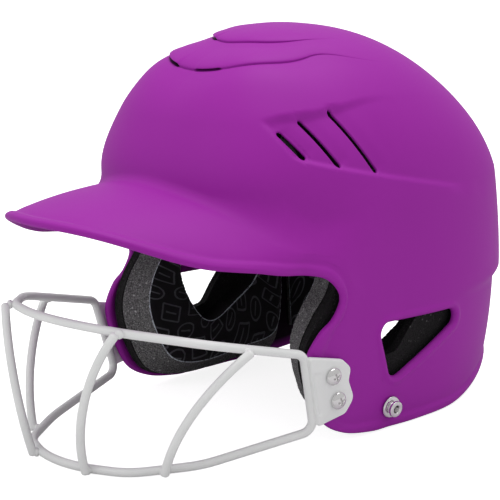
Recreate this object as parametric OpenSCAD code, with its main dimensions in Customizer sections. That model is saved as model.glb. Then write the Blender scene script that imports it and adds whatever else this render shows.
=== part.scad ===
/* [Shell] */
// Overall length, front of the bill to the back of the shell
overall_l = 322; // [290:1:330]
// Overall height, ear flaps to crown
overall_h = 225.5; // [215:0.5:240]
// Width of the shell above the ears
shell_w = 194; // [184:1:204]
// Dome length ahead of its centre
dome_front = 110; // [98:1:114]
// Dome length behind its centre
dome_back = 128; // [116:1:136]
// Wall of the moulded shell
wall = 3.5; // [3:0.5:4.5]
// Width of the rolled lip along every edge
lip_w = 6; // [4:0.5:8]
// Height that the lip stands proud
lip_h = 1.1; // [0.5:0.1:1.6]

/* [Bill] */
// Half width of the bill where it meets the temples
bill_half_w = 91; // [84:1:96]
// Height of the bill's front edge
bill_z = 140; // [136:1:150]
// How far the bill's edge falls from its front to the temples
bill_droop = 40; // [34:1:50]
// Height at which the forehead meets the bill
brow_z = 148; // [142:1:154]
// Upward crown of the bill between forehead and edge
bill_crown = 3; // [0:0.5:8]

/* [Face opening and jaw flap] */
// Distance from the dome centre forward to the back of the face opening
opening_fwd = 56; // [50:1:60]
// Height of the temple corner
temple_z = 100; // [94:1:106]
// Distance from the dome centre forward to the front of the jaw flap
jaw_fwd = 80; // [72:1:88]
// Height of the jaw flap's front corner
jaw_z = 58; // [50:1:64]

/* [Crown tiers] */
// Step of each crown tier
tier_step = 3; // [2:0.5:3.5]
// Front reach of the upper tier from the crown
tier_a_front = 27; // [24:1:31]
// Half width of the upper tier
tier_a_half_w = 39; // [36:1:42]
// Front reach of the lower tier from the crown
tier_b_front = 53; // [50:1:58]
// Half width of the lower tier
tier_b_half_w = 46; // [44:1:50]

/* [Nape] */
// Depth of the recessed nape panel
nape_recess = 3.6; // [2:0.5:7]
// Height of the ledge over the nape panel
nape_z = 71; // [66:1:76]
// Height of the shell's lower edge at the nape
nape_rise = 16; // [8:1:22]

/* [Vents and windows] */
// Width of the three slots on each side
slot_w = 2.8; // [2:0.2:4]
// Height of the side slots' lower ends, front slot
slot_z = 163; // [158:1:168]
// Corner radius of the ear windows
window_r = 6; // [4:0.5:8]
// Height of the ear windows' lower edge
window_z = 31; // [27:1:36]

/* [Guard] */
// Diameter of the guard wire
wire_d = 5; // [4:0.5:6]
// Reach of the guard ahead of the dome centre
guard_fwd = 186; // [179:1:191]
// Height of the top bar in front
guard_top_z = 85; // [80:1:90]
// Distance from the dome centre forward to the guard's upper corners
guard_side_fwd = 85; // [83:1:87]
// Thickness of the side plates
plate_t = 3; // [2:0.5:4]

/* [Fasteners] */
// Diameter of the guard screws' heads
screw_head_d = 10; // [8:0.5:12]
// Diameter of the guard screws' shanks
screw_d = 4.8; // [4:0.2:6]
// Diameter of the snap studs' flange
stud_flange_d = 13; // [11:0.5:15]
// Diameter of the snap studs' cap
stud_cap_d = 9.4; // [8:0.2:11]

/* [Padding] */
// Thickness of the thin outer layer of the ear pads
ear_outer_t = 6; // [4:0.5:8]
// Thickness of the thick inner layer of the ear pads
ear_inner_t = 15; // [11:1:18]
// Thickness of the rear pads
rear_t = 17; // [12:1:20]
// Thickness of the brow and upper side pads
brow_t = 13; // [9:1:16]
// Thickness of the crown pad
crown_t = 14; // [9:1:17]

/* [Hidden] */

plan_n = 2.35;
flap_n = 6;
rise_front = 1.85;
rise_back = 2.4;
half_cols = 34;
dome_y = overall_l / 2 - dome_back;
bill_front_y = -overall_l / 2;
bill_back_y = dome_y - opening_fwd - 20;
dome_top = overall_h - 2 * tier_step;
crown_lean = 22;
crown_y = dome_y - crown_lean;

function mix(a, b, f) = a + (b - a) * f;
function clamp01(f) = max(0, min(1, f));
function smooth(f) = let (g = clamp01(f)) g * g * (3 - 2 * g);
function unit(v) = v / max(norm(v), 1e-9);

// Squareness of the plan: the jaw flaps run straight forward, the dome is round
function squareness(p, z) = cos(p) > 0 ? mix(flap_n, plan_n, smooth((z - 70) / 60)) : plan_n;

// Plan radius of the shell at azimuth p, measured from straight ahead, and height z
function plan_r(p, z) = let (b = cos(p) > 0 ? dome_front : dome_back, n = squareness(p, z))
    pow(pow(abs(sin(p)) / (shell_w / 2), n) + pow(abs(cos(p)) / b, n), -1 / n);

// Height of the widest line of the shell at azimuth p
belt_keys = [[0, 130], [40, 146], [90, 108], [140, 112], [180, 95]];
function turned(p) = min(abs(p), 360 - abs(p));
function belt_z(p) = let (q = turned(p), i = q < 40 ? 0 : q < 90 ? 1 : q < 140 ? 2 : 3,
    a = belt_keys[i], b = belt_keys[i + 1])
    mix(a[1], b[1], smooth((q - a[0]) / (b[0] - a[0])));

// How much the shell draws in between the belt and the ear flaps
side_taper = 0.08;
back_taper = 0.12;
function taper(p) = mix(side_taper, back_taper, smooth((turned(p) - 90) / 80));

// The upper dome leans forward, so its centre moves with height
function centre_y(p, z) = let (zb = belt_z(p)) dome_y - crown_lean * smooth((z - zb) / (dome_top - zb));

// Squareness of the dome in elevation, fuller at the back
function rise(p) = mix(rise_front, rise_back, smooth((turned(p) - 40) / 60));

function place(p, r, z) = [r * sin(p), centre_y(p, z) - r * cos(p), z];

// The nape panel is set in below a ledge and fades out towards the ears
function nape(p) = smooth((turned(p) - 105) / 40);

// Share of the full plan that the shell has at azimuth p and height z
function share(p, z) = let (zb = belt_z(p))
    z >= zb ? pow(max(0, 1 - pow((z - zb) / (dome_top - zb), rise(p))), 1 / rise(p))
            : 1 - taper(p) * pow((zb - z) / zb, 2.6) - nape_recess / 120 * nape(p) * smooth((nape_z - z) / 7);
function body(p, z) = place(p, plan_r(p, z) * share(p, z), z);

// Dome point at azimuth p and polar angle a, 0 at the crown, 90 at the belt and more below it
below = 1.9;
function dome(p, a) = let (zb = belt_z(p), z = zb + (dome_top - zb) * pow(max(0, cos(a)), 2 / rise(p)))
    a > 90 ? body(p, zb - (a - 90) * below) : place(p, plan_r(p, z) * pow(sin(a), 2 / rise(p)), z);
function polar(p, z) = let (zb = belt_z(p))
    z < zb ? 90 + (zb - z) / below : acos(clamp01(pow((z - zb) / (dome_top - zb), rise(p) / 2)));

function azimuth(v) = atan2(v[0], dome_y - v[1]);

// Side outline of the face opening and jaw flap as distance forward and height
side_outline = [
    [opening_fwd + 7, temple_z - 4], [opening_fwd, temple_z - 15], [opening_fwd + 6, temple_z - 26],
    [mix(opening_fwd, jaw_fwd, 0.65), jaw_z + 9], [jaw_fwd, jaw_z - 4], [jaw_fwd - 2, jaw_z - 20],
    [jaw_fwd - 11, 16], [jaw_fwd - 27, 5.5], [jaw_fwd - 48, 1]];
function side_point(fwd, z) = let (p = atan2(shell_w / 2 - 4, fwd), n = squareness(p, z),
    s = share(p, z), b = fwd > 0 ? dome_front : dome_back,
    x = shell_w / 2 * s * pow(1 - pow(abs(fwd) / b / s, n), 1 / n))
    body(azimuth([x, dome_y - fwd]), z);

bill_arc = [for (a = [0:7.5:90]) [bill_half_w * sin(a),
    mix(bill_back_y, bill_front_y, cos(a)), bill_z - bill_droop * pow(sin(a), 2.8)]];
side_arc = [for (q = side_outline) side_point(q[0], q[1])];
// Lower edge behind the ears: level at the flaps, then rising to the nape
function edge_z(p, a0) = nape_rise * smooth((p - 95) / 70) + 1 - smooth((p - a0) / 18);
bottom_arc = let (a0 = azimuth(side_arc[len(side_arc) - 1]))
    [for (f = [0.08:0.08:1]) let (p = mix(a0, 180, f)) body(p, edge_z(p, a0))];
rim_keys = concat(bill_arc, side_arc, bottom_arc, [body(180, nape_rise)]);

// Catmull-Rom point of a key list at a running index
function key_at(keys, i) = keys[max(0, min(len(keys) - 1, i))];
function spline(keys, f) = let (i = floor(f), t = f - i,
    a = key_at(keys, i - 1), b = key_at(keys, i), c = key_at(keys, i + 1), d = key_at(keys, i + 2))
    0.5 * (2 * b + (c - a) * t + (2 * a - 5 * b + 4 * c - d) * t * t + (3 * b - a - 3 * c + d) * t * t * t);

function lengths(pts, i = 0, sum = 0, out = []) = i >= len(pts) ? out
    : let (s = i == 0 ? 0 : sum + norm(pts[i] - pts[i - 1])) lengths(pts, i + 1, s, concat(out, [s]));

rim_line = [for (i = [0:0.25:len(rim_keys) - 1]) spline(rim_keys, i)];
rim_run = lengths(rim_line);
rim_total = rim_run[len(rim_run) - 1];
function rim_at(run, i = 1) = i >= len(rim_line) - 1 || rim_run[i] >= run
    ? mix(rim_line[i - 1], rim_line[i], (run - rim_run[i - 1]) / (rim_run[i] - rim_run[i - 1]))
    : rim_at(run, i + 1);

// Shares of the rim at which the bill ends and the flat bottom of the ear flaps starts
bill_run = rim_run[(len(bill_arc) - 1) * 4] / rim_total;
flap_run = rim_run[(len(bill_arc) + len(side_arc) - 1) * 4] / rim_total;

// Azimuth of each column where it leaves the dome
top_bill = 57;
top_flap = 94;
function top_az(t) = t < bill_run ? top_bill * t / bill_run
    : t < flap_run ? mix(top_bill, top_flap, (t - bill_run) / (flap_run - bill_run))
    : mix(top_flap, 180, (t - flap_run) / (1 - flap_run));

// Height of the seam between dome and bill, then of the line above the ears
knee_side = 111;
knee_back = 100;
function knee_z(p) = p < top_bill ? brow_z - (brow_z - knee_side) * pow(p / top_bill, 1.9)
    : mix(knee_side, knee_back, smooth((p - top_bill) / 30));

// Point of the lower part of a column: on the bill in front, on the body at the sides and back
function low_point(t, w) = let (p = top_az(t), e = rim_at(rim_total * t), zk = knee_z(p),
    k = body(p, zk), on_bill = 1 - smooth((t - bill_run + 0.03) / 0.06),
    a = mix(k, e, w) + [0, 0, bill_crown * 4 * w * (1 - w)],
    turn = smooth((t - bill_run) / 0.04) * (1 - smooth((t - flap_run + 0.1) / 0.1)),
    b = body(mix(p, azimuth(e), pow(w, mix(1.3, 2.2, turn))), mix(zk, e[2], mix(w, 1 - pow(1 - w, 1.8), turn))))
    mix(b, a, on_bill);

// Lift of the two crown tiers: a step at each edge in front, fading out towards the back
// The upper tier's edge is an ellipse set back from the crown, the lower one's a fuller curve round it
tier_a_shift = 22;
tier_b_back = 96;
function edge_angle(p, r) = asin(pow(min(0.95, r / plan_r(p, dome_top)), rise(p) / 2));
function edge_a(p) = let (h = tier_a_front + tier_a_shift,
    k = pow(sin(p) / tier_a_half_w, 2) + pow(cos(p) / h, 2),
    m = tier_a_shift * cos(p) / (h * h), n = 1 - pow(tier_a_shift / h, 2))
    edge_angle(p, (sqrt(m * m + k * n) - m) / k);
function edge_b(p) = edge_angle(p, pow(pow(abs(sin(p)) / tier_b_half_w, 2.7)
    + pow(abs(cos(p)) / (cos(p) > 0 ? tier_b_front : tier_b_back), 2.7), -1 / 2.7));
function fade(p) = 1 - smooth((p - 70) / 60);
function lift(p, tiers, a) = tier_step * mix(2 * (1 - smooth(a / 62)), tiers, fade(p));

function raise(p, a, tiers) = dome(p, a) + [0, 0, lift(p, tiers, a)];

top_rows = 5;
dome_rows = 7;
fillet_rows = 4;
low_rows = 7;
fillet_front = 20;
fillet_side = 26;
draft = 1.1;
bead = 1.3;

function column(t) = let (p = top_az(t), zk = knee_z(p), ak = polar(p, zk), k = body(p, zk),
    e = rim_at(rim_total * t), l = norm(e - k), fil = mix(fillet_front, fillet_side, clamp01(t / bill_run)),
    cut = min(fil, l * 0.45), aa = ak - cut / 115 * 57.3, wb = cut / l, a = dome(p, aa), b = low_point(t, wb),
    ea = edge_a(p), eb = edge_b(p))
    concat([for (i = [0:top_rows]) raise(p, ea * i / top_rows, 2)],
        [raise(p, ea + draft, 1), raise(p, mix(ea + draft, eb, 0.5), 1), raise(p, eb, 1)],
        [for (i = [0:dome_rows]) raise(p, mix(eb + draft, aa, i / dome_rows), 0)],
        [for (i = [1:fillet_rows]) let (f = i / fillet_rows) mix(mix(a, k, f), mix(k, b, f), f)],
        [for (i = [1:low_rows]) low_point(t, mix(wb, 1 - lip_w / l, i / low_rows))],
        [low_point(t, 1 - (lip_w - bead) / l), low_point(t, 1 - bead / l), e]);

outer_half = [for (k = [0:half_cols]) column(k / half_cols)];
rows = len(outer_half[0]);
full = concat(outer_half, [for (k = [half_cols - 1:-1:1]) [for (q = outer_half[k]) [-q[0], q[1], q[2]]]]);
cols = len(full);

function normal_at(g, k, i) = i == 0 ? [0, 0, 1] : let (n = len(g))
    unit(cross(g[k][min(i + 1, rows - 1)] - g[k][i - 1], g[(k + 1) % n][i] - g[(k + n - 1) % n][i]));

// The lip stands proud over the last rows; the inner skin keeps clear of the tiers' steps
lip_row = rows - 3;
function proud(i) = i == lip_row || i == lip_row + 1 ? lip_h : 0;
outer = [for (k = [0:cols - 1]) [for (i = [0:rows - 1]) full[k][i] + proud(i) * normal_at(full, k, i)]];
inner = [for (k = [0:cols - 1]) [for (i = [0:rows - 1]) full[k][i] - wall * normal_at(full, k, i)]];

shell_count = 1 + cols * (rows - 1);
function vid(k, i, side) = side * shell_count + (i == 0 ? 0 : 1 + (k % cols) * (rows - 1) + i - 1);

// Slots and windows as outlines in side view, given by distance ahead of the dome centre and height
function ahead(fwd, z) = [dome_y - fwd, z];
slots = [[ahead(71.5, slot_z + 12), ahead(65.5, slot_z + 1.5)],
    [ahead(57.5, slot_z + 16.5), ahead(46, slot_z - 5)],
    [ahead(38, slot_z + 19.5), ahead(22, slot_z - 11.5)]];
window = [ahead(28, window_z + 33), ahead(-50, window_z + 29), ahead(18, window_z - 3)];
window_radii = [window_r, window_r - 1, window_r];

// Seats of the fasteners on the left flap, as distance forward of the dome centre and height
stud_seat = [17, 13];
screw_seats = [[66.3, 43.5], [62.3, 28.5]];
plate_seat = [62, 36];
fit_gap = 0.15;
nut_barrel_r = screw_d / 2 + 1.1;
stud_post_r = 2.4;
screw_head_h = 2.4;
nut_flange_r = 6.4;
nut_flange_t = 1.2;
nut_sink = 1.36;
shell_gap = lip_h + fit_gap;

// Lean of the flap at a seat, and a frame there with +X pointing out of the shell
function flap_lean(q) = let (a = side_point(q[0], q[1] + 5), b = side_point(q[0], q[1] - 5))
    atan((a[0] - b[0]) / 10);
plate_lean = flap_lean(plate_seat);
plate_x = side_point(plate_seat[0], plate_seat[1])[0] + lip_h + fit_gap;
stud_lean = flap_lean(stud_seat);

module on_stud_seat() {
    translate(side_point(stud_seat[0], stud_seat[1])) rotate([0, stud_lean, 0]) children();
}

// Plane of the side plate's inner face
module on_plate() {
    translate([plate_x, dome_y - plate_seat[0], plate_seat[1]]) rotate([0, plate_lean, 0]) children();
}

module on_screws() {
    on_plate() for (q = screw_seats) translate([0, plate_seat[0] - q[0], q[1] - plate_seat[1]]) children();
}

module along_x(r, a, b) {
    translate([a, 0, 0]) rotate([0, 90, 0]) cylinder(r = r, h = b - a, $fn = 24);
}

module both_sides() {
    children();
    mirror([1, 0, 0]) children();
}

module side_prism() {
    rotate([90, 0, 90]) translate([0, 0, -shell_w]) linear_extrude(2 * shell_w) children();
}

module stadium(a, b, w) {
    l = norm(b - a);
    translate(a) rotate(atan2(b[1] - a[1], b[0] - a[0])) {
        translate([0, -w / 2]) square([l, w]);
        circle(d = w, $fn = 24);
        translate([l, 0]) circle(d = w, $fn = 24);
    }
}

// Polygon with rounded corners, each arc tangent to its two sides
function within_half_turn(a) = a > 180 ? a - 360 : a < -180 ? a + 360 : a;
function corner(a, b, c, r) = let (u = unit(a - b), v = unit(c - b), h = acos(u * v) / 2, d = r / tan(h),
    m = b + unit(u + v) * r / sin(h), p0 = b + u * d - m, p1 = b + v * d - m,
    a0 = atan2(p0[1], p0[0]), turn = within_half_turn(atan2(p1[1], p1[0]) - a0))
    [for (i = [0:6]) m + r * [cos(a0 + turn * i / 6), sin(a0 + turn * i / 6)]];
function rounded(pts, radii) = let (n = len(pts))
    [for (i = [0:n - 1]) each corner(pts[(i + n - 1) % n], pts[i], pts[(i + 1) % n], radii[i])];

module shell() {
    pts = concat([outer[0][0]], [for (k = [0:cols - 1]) for (i = [1:rows - 1]) outer[k][i]],
        [inner[0][0]], [for (k = [0:cols - 1]) for (i = [1:rows - 1]) inner[k][i]]);
    e = rows - 1;
    faces = concat(
        [for (k = [0:cols - 1]) for (i = [1:rows - 2]) each [
            [vid(k, i, 0), vid(k + 1, i, 0), vid(k + 1, i + 1, 0)],
            [vid(k, i, 0), vid(k + 1, i + 1, 0), vid(k, i + 1, 0)],
            [vid(k, i, 1), vid(k + 1, i + 1, 1), vid(k + 1, i, 1)],
            [vid(k, i, 1), vid(k, i + 1, 1), vid(k + 1, i + 1, 1)]]],
        [for (k = [0:cols - 1]) each [
            [vid(0, 0, 0), vid(k + 1, 1, 0), vid(k, 1, 0)],
            [vid(0, 0, 1), vid(k, 1, 1), vid(k + 1, 1, 1)],
            [vid(k, e, 0), vid(k + 1, e, 0), vid(k + 1, e, 1)],
            [vid(k, e, 0), vid(k + 1, e, 1), vid(k, e, 1)]]]);
    color("#AA32AF") difference() {
        polyhedron(pts, faces, convexity = 8);
        for (s = slots) side_prism() stadium(s[0], s[1], slot_w);
        side_prism() polygon(rounded(window, window_radii));
        both_sides() {
            on_stud_seat() along_x(stud_post_r + fit_gap, -3 * wall, 3 * wall);
            on_screws() along_x(nut_barrel_r + fit_gap, -3 * wall, 3 * wall);
        }
    }
}

// Centre line of a wire through its bend points, each bend an arc tangent to both legs
function arc_steps(a, b, c) = max(2, ceil((180 - acos(unit(a - b) * unit(c - b))) / 12));
function bend_arc(a, b, c, r) = let (u = unit(a - b), v = unit(c - b), h = acos(u * v) / 2,
    o = b + unit(u + v) * r / sin(h), x = unit(b + u * r / tan(h) - o), e = unit(b + v * r / tan(h) - o),
    y = unit(e - (e * x) * x), n = arc_steps(a, b, c))
    [for (i = [0:n]) let (q = (180 - 2 * h) * i / n) o + r * (cos(q) * x + sin(q) * y)];
function wire_path(pts, radii, closed) = let (n = len(pts))
    [for (i = [0:n - 1]) each closed || (i > 0 && i < n - 1)
        ? bend_arc(pts[(i + n - 1) % n], pts[i], pts[(i + 1) % n], radii[i]) : [pts[i]]];

// Round wire swept along its centre line; outwards from the face is the start of each ring
wire_sides = 16;
guard_axis = [0, dome_y - 93, 0];
function wire_ring(path, i, d, closed) = let (n = len(path),
    next = path[closed ? (i + 1) % n : min(i + 1, n - 1)],
    last = path[closed ? (i + n - 1) % n : max(i - 1, 0)],
    t = unit(next - last), o = [path[i][0], path[i][1], 0] - guard_axis,
    x = unit(o - (o * t) * t), y = cross(t, x))
    [for (k = [0:wire_sides - 1]) let (q = 360 * k / wire_sides) path[i] + d / 2 * (cos(q) * x + sin(q) * y)];

module bent_wire(pts, radii, d, closed = false) {
    path = wire_path(pts, radii, closed);
    n = len(path);
    m = wire_sides;
    rings = [for (i = [0:n - 1]) each wire_ring(path, i, d, closed)];
    function id(i, k) = (i % n) * m + k % m;
    sides = [for (i = [0:closed ? n - 1 : n - 2]) for (k = [0:m - 1])
        each [[id(i, k), id(i + 1, k + 1), id(i, k + 1)], [id(i, k), id(i + 1, k), id(i + 1, k + 1)]]];
    ends = closed ? [] : [[for (k = [0:m - 1]) id(0, k)], [for (k = [m - 1:-1:0]) id(n - 1, k)]];
    polyhedron(rings, concat(sides, ends), convexity = 8);
}

function flip(p) = [-p[0], p[1], p[2]];
function reversed(list) = [for (i = [len(list) - 1:-1:0]) list[i]];

// Bend points of the guard on the left side; the loop's corners sit at the plate's front edge
guard_x = plate_x + 0.9;
guard_y = dome_y - guard_fwd;
guard_side_y = dome_y - guard_side_fwd;
loop_top = [[guard_x, guard_side_y, guard_top_z - 26], [guard_x - 9, guard_y + 44, guard_top_z - 10],
    [0.505 * guard_x, guard_y + 11.5, guard_top_z - 2.5]];
loop_top_mid = [0, guard_y - 5, guard_top_z + 1];
loop_low = [[guard_x - 4.5, guard_side_y + 9, 13], [0.726 * guard_x, guard_y + 47, 4],
    [0.484 * guard_x, guard_y + 14.5, wire_d / 2]];
loop_low_mid = [0, guard_y - 4, wire_d / 2];
loop_points = concat(loop_top, [loop_top_mid], [for (p = reversed(loop_top)) flip(p)],
    [for (p = loop_low) flip(p)], [loop_low_mid], reversed(loop_low));
loop_radii = [7, 35, 60, 90, 60, 35, 7, 7, 60, 35, 80, 35, 60, 7];

// Point beside a bar, outside it by one wire
function beside(a, b, f, out) = mix(a, b, f) + unit(out) * (wire_d + fit_gap);
outer_top = beside(loop_top[0], loop_top[1], 0.62, [0.92, -0.23, -0.3]);
outer_low = beside(loop_low[1], loop_low[2], 0.52, [0.8, -0.56, -0.2]);
inner_top = beside(loop_top[1], loop_top[2], 0.97, [0.62, -0.78, 0]);
inner_low = beside(loop_low[2], loop_low_mid, 0.5, [0.36, -0.93, 0]);
outer_points = [outer_top + [1.9, 3, 3], outer_top + [-10, -16.7, -15.4],
    [outer_low[0] + 8.1, outer_low[1] + 3.7, 26], [outer_low[0], outer_low[1], 1.2]];
inner_points = [inner_top + [0.8, 0.6, 3], inner_top + [-12.4, -9, -19.3],
    [inner_low[0] + 1.9, inner_low[1] - 4.5, 27], [inner_low[0], inner_low[1] + 1, 0.8]];

module guard_loop() {
    color("#DCDEDE") bent_wire(loop_points, loop_radii, wire_d, closed = true);
}

module guard_upright_outer() {
    color("#DCDEDE") bent_wire(outer_points, [0, 60, 60, 0], wire_d);
}

module guard_upright_inner() {
    color("#DCDEDE") bent_wire(inner_points, [0, 50, 50, 0], wire_d);
}

// Outline of the left side plate in its own plane, y back and z up from the seat; its front edge
// follows the loop's leg, one weld gap behind the wire
weld_gap = 0.12;
function front_edge(z) = let (leg = mix(loop_top[0], loop_low[0],
        (loop_top[0][2] - plate_seat[1] - z) / (loop_top[0][2] - loop_low[0][2])),
    inset = min(0, leg[0] - plate_x - z * tan(plate_lean)))
    leg[1] - dome_y + plate_seat[0] + sqrt(pow(wire_d / 2 + weld_gap, 2) - inset * inset);
plate_outline = [[front_edge(22), 22.5], [3, 15.5], [9.5, 9.5], [8, 2], [12.5, -9], [6, -17],
    [front_edge(-18), -18]];
plate_corners = [2, 3, 5, 5, 6, 5, 2];

module guard_plate() {
    color("#DCDEDE") difference() {
        on_plate() rotate([90, 0, 90]) linear_extrude(plate_t) polygon(rounded(plate_outline, plate_corners));
        on_screws() along_x(screw_d / 2 + fit_gap, -1, plate_t + 1);
    }
}

module guard_screws() {
    color("#C9CCD0") on_screws() difference() {
        union() {
            along_x(screw_d / 2, -shell_gap - wall - nut_flange_t, plate_t + 0.1);
            translate([plate_t, 0, 0]) rotate([0, 90, 0]) rotate_extrude($fn = 36)
                polygon(concat([[0, 0]], [for (i = [0:4]) let (a = i * 22.5)
                    [screw_head_d / 2 * cos(a), 0.5 + (screw_head_h - 0.5) * sin(a)]]));
        }
        for (a = [0, 90]) rotate([a, 0, 0]) translate([plate_t + 0.8, -2.6, -0.6]) cube([3, 5.2, 1.2]);
    }
}

module tee_nuts() {
    color("#8F9498") on_screws() difference() {
        union() {
            along_x(nut_barrel_r, -shell_gap - wall - nut_sink - 0.1, -shell_gap - 0.8);
            along_x(nut_flange_r, -shell_gap - wall - nut_sink - nut_flange_t, -shell_gap - wall - nut_sink);
        }
        along_x(screw_d / 2 + 0.05, -20, 5);
    }
}

// Snap stud: flange on the shell, neck, ring-shaped cap with a hollow, and the rivet post through the shell
module snap_stud() {
    color("#C9CCD0") on_stud_seat() rotate([0, 90, 0]) rotate_extrude($fn = 36) polygon([
        [1.5, -wall - 2], [stud_post_r, -wall - 2], [stud_post_r, 0.9], [stud_flange_d / 2 - 0.4, 0.9],
        [stud_flange_d / 2, 1.2], [stud_flange_d / 2 - 0.6, 2], [3.4, 2.3], [3.2, 3.2],
        [stud_cap_d / 2 - 0.5, 3.6], [stud_cap_d / 2, 4.1], [stud_cap_d / 2, 5.5],
        [stud_cap_d / 2 - 0.9, 6], [2.6, 6], [2.2, 5.4], [1.5, 2]]);
}

module stud_washer() {
    color("#8F9498") on_stud_seat() rotate([0, 90, 0]) rotate_extrude($fn = 36)
        translate([stud_post_r + 0.05, -wall - 1.6]) square([3.6, 1.2]);
}

// Outward normal of the body, and a point at depth d under its outside
function body_normal(p, z) = unit(cross(body(p, z + 1) - body(p, z - 1), body(p - 1, z) - body(p + 1, z)));
function sunk(p, z, d) = body(p, z) - d * body_normal(p, z);
function side_sunk(fwd, z, d) = let (q = side_point(fwd, z)) sunk(azimuth(q), z, d);

// Closed block over a grid: out[i][j] is the outer face and deep[i][j] the inner face
module block(out, deep) {
    n = len(out);
    m = len(out[0]);
    pts = concat([for (r = out) each r], [for (r = deep) each r]);
    function id(i, j, s) = s * n * m + i * m + j;
    function cell(a, b, c, d) = [[a, c, b], [a, d, c]];
    faces = concat(
        [for (i = [0:n - 2]) for (j = [0:m - 2]) each concat(
            cell(id(i, j, 0), id(i + 1, j, 0), id(i + 1, j + 1, 0), id(i, j + 1, 0)),
            cell(id(i, j, 1), id(i, j + 1, 1), id(i + 1, j + 1, 1), id(i + 1, j, 1)))],
        [for (i = [0:n - 2]) each concat(
            cell(id(i, 0, 0), id(i, 0, 1), id(i + 1, 0, 1), id(i + 1, 0, 0)),
            cell(id(i, m - 1, 0), id(i + 1, m - 1, 0), id(i + 1, m - 1, 1), id(i, m - 1, 1)))],
        [for (j = [0:m - 2]) each concat(
            cell(id(0, j, 0), id(0, j + 1, 0), id(0, j + 1, 1), id(0, j, 1)),
            cell(id(n - 1, j, 0), id(n - 1, j, 1), id(n - 1, j + 1, 1), id(n - 1, j + 1, 0)))]);
    polyhedron(pts, faces, convexity = 6);
}

pad_gap = 0.3;

// Cushion over azimuths p0 to p1 and heights z0 to z1: a crowned inner face with drawn-in sides
module body_pad(p0, p1, z0, z1, depth, t, np, nz) {
    function swell(u) = pow(max(0, 1 - pow(abs(2 * u - 1), 4)), 0.5);
    out = [for (i = [0:np]) [for (j = [0:nz]) sunk(mix(p0, p1, i / np), mix(z0, z1, j / nz), depth)]];
    deep = [for (i = [0:np]) [for (j = [0:nz]) let (u = i / np, v = j / nz)
        sunk(mix(p0, p1, u), mix(z0, z1, v), depth + t * (0.45 + 0.55 * swell(u) * swell(v)))]];
    block(out, deep);
}

// Ear pad: a ribbon round the ear hole between an outer and an inner outline, forward and height
ear_rim = [[53, 96], [57, 86], [69, 72], [78, 55], [75, 35], [62, 12], [34, 3], [-6, 3], [-40, 6],
    [-50, 34], [-52, 62]];
ear_hole = [[30, 98], [36, 86], [39, 72], [37, 60], [32, 48], [24, 37], [14, 35], [-2, 43], [-18, 52],
    [-26, 61], [-28, 70]];
ear_scale = temple_z / 100;
function ear_at(f, v) = let (i = min(len(ear_rim) - 2, floor(f)), t = f - i)
    ear_scale * mix(mix(ear_rim[i], ear_rim[i + 1], t), mix(ear_hole[i], ear_hole[i + 1], t), v);
ear_steps = 20;
ear_across = 3;
ear_depth = wall + nut_flange_t + 2;

module ear_layer(depth, t, round_in) {
    out = [for (i = [0:ear_steps]) [for (j = [0:ear_across]) let (q = ear_at(i / 2, j / ear_across))
        side_sunk(q[0], q[1], depth)]];
    deep = [for (i = [0:ear_steps]) [for (j = [0:ear_across]) let (q = ear_at(i / 2, j / ear_across),
        edge = j == 0 || j == ear_across ? 1 : 0) side_sunk(q[0], q[1], depth + t - edge * round_in)]];
    block(out, deep);
}

module ear_pad_outer() {
    color("#2B2829") ear_layer(ear_depth, ear_outer_t, 0);
}

module ear_pad_inner() {
    color("#343233") ear_layer(ear_depth + ear_outer_t + pad_gap, ear_inner_t, 2.5);
}

// Heights of the pads' lower and upper edges
rear_low = 20;
rear_high = 78;
brow_low = 134;
brow_high = 176;
upper_low = 112;
upper_high = 152;

module rear_pad_center() {
    color("#2B2829") body_pad(154, 206, rear_low, rear_high, wall + 7 * pad_gap, rear_t, 14, 8);
}

module rear_pad_side() {
    color("#2B2829") body_pad(124, 152.5, rear_low - 4, rear_high - 2, wall + 7 * pad_gap, rear_t, 9, 8);
}

module brow_pad() {
    color("#2B2829") body_pad(-52, 52, brow_low, brow_high, wall + pad_gap + 0.5, brow_t, 22, 6);
}

module upper_pad() {
    color("#2B2829") body_pad(68, 128, upper_low, upper_high, wall + 4 * pad_gap, brow_t, 14, 7);
}

module crown_pad() {
    np = 32;
    nr = 6;
    function skin(p, a, d) = raise(p, a, 2) - d * unit(raise(p, a, 2) - [0, crown_y, dome_top - 110]);
    function swell(f) = 0.5 + 0.5 * pow(max(0, 1 - pow(f, 4)), 0.5);
    function ring(i, d) = [for (k = [0:np - 1]) let (p = k * 360 / np)
        skin(p, edge_a(turned(p)) * 0.9 * i / nr, d)];
    depth = wall + 0.9;
    top = [for (i = [1:nr]) each ring(i, depth)];
    low = [for (i = [1:nr]) each ring(i, depth + crown_t * swell(i / nr))];
    pts = concat([skin(0, 0, depth)], top, [skin(0, 0, depth + crown_t)], low);
    m = 1 + nr * np;
    function id(i, k, s) = s * m + (i == 0 ? 0 : 1 + (i - 1) * np + k % np);
    faces = concat(
        [for (k = [0:np - 1]) each [
            [id(0, 0, 0), id(1, k + 1, 0), id(1, k, 0)],
            [id(0, 0, 1), id(1, k, 1), id(1, k + 1, 1)],
            [id(nr, k, 0), id(nr, k + 1, 0), id(nr, k + 1, 1)],
            [id(nr, k, 0), id(nr, k + 1, 1), id(nr, k, 1)]]],
        [for (i = [1:nr - 1]) for (k = [0:np - 1]) each [
            [id(i, k, 0), id(i, k + 1, 0), id(i + 1, k + 1, 0)],
            [id(i, k, 0), id(i + 1, k + 1, 0), id(i + 1, k, 0)],
            [id(i, k, 1), id(i + 1, k + 1, 1), id(i, k + 1, 1)],
            [id(i, k, 1), id(i + 1, k, 1), id(i + 1, k + 1, 1)]]]);
    color("#2B2829") polyhedron(pts, faces, convexity = 4);
}

module right() {
    mirror([1, 0, 0]) children();
}

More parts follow.
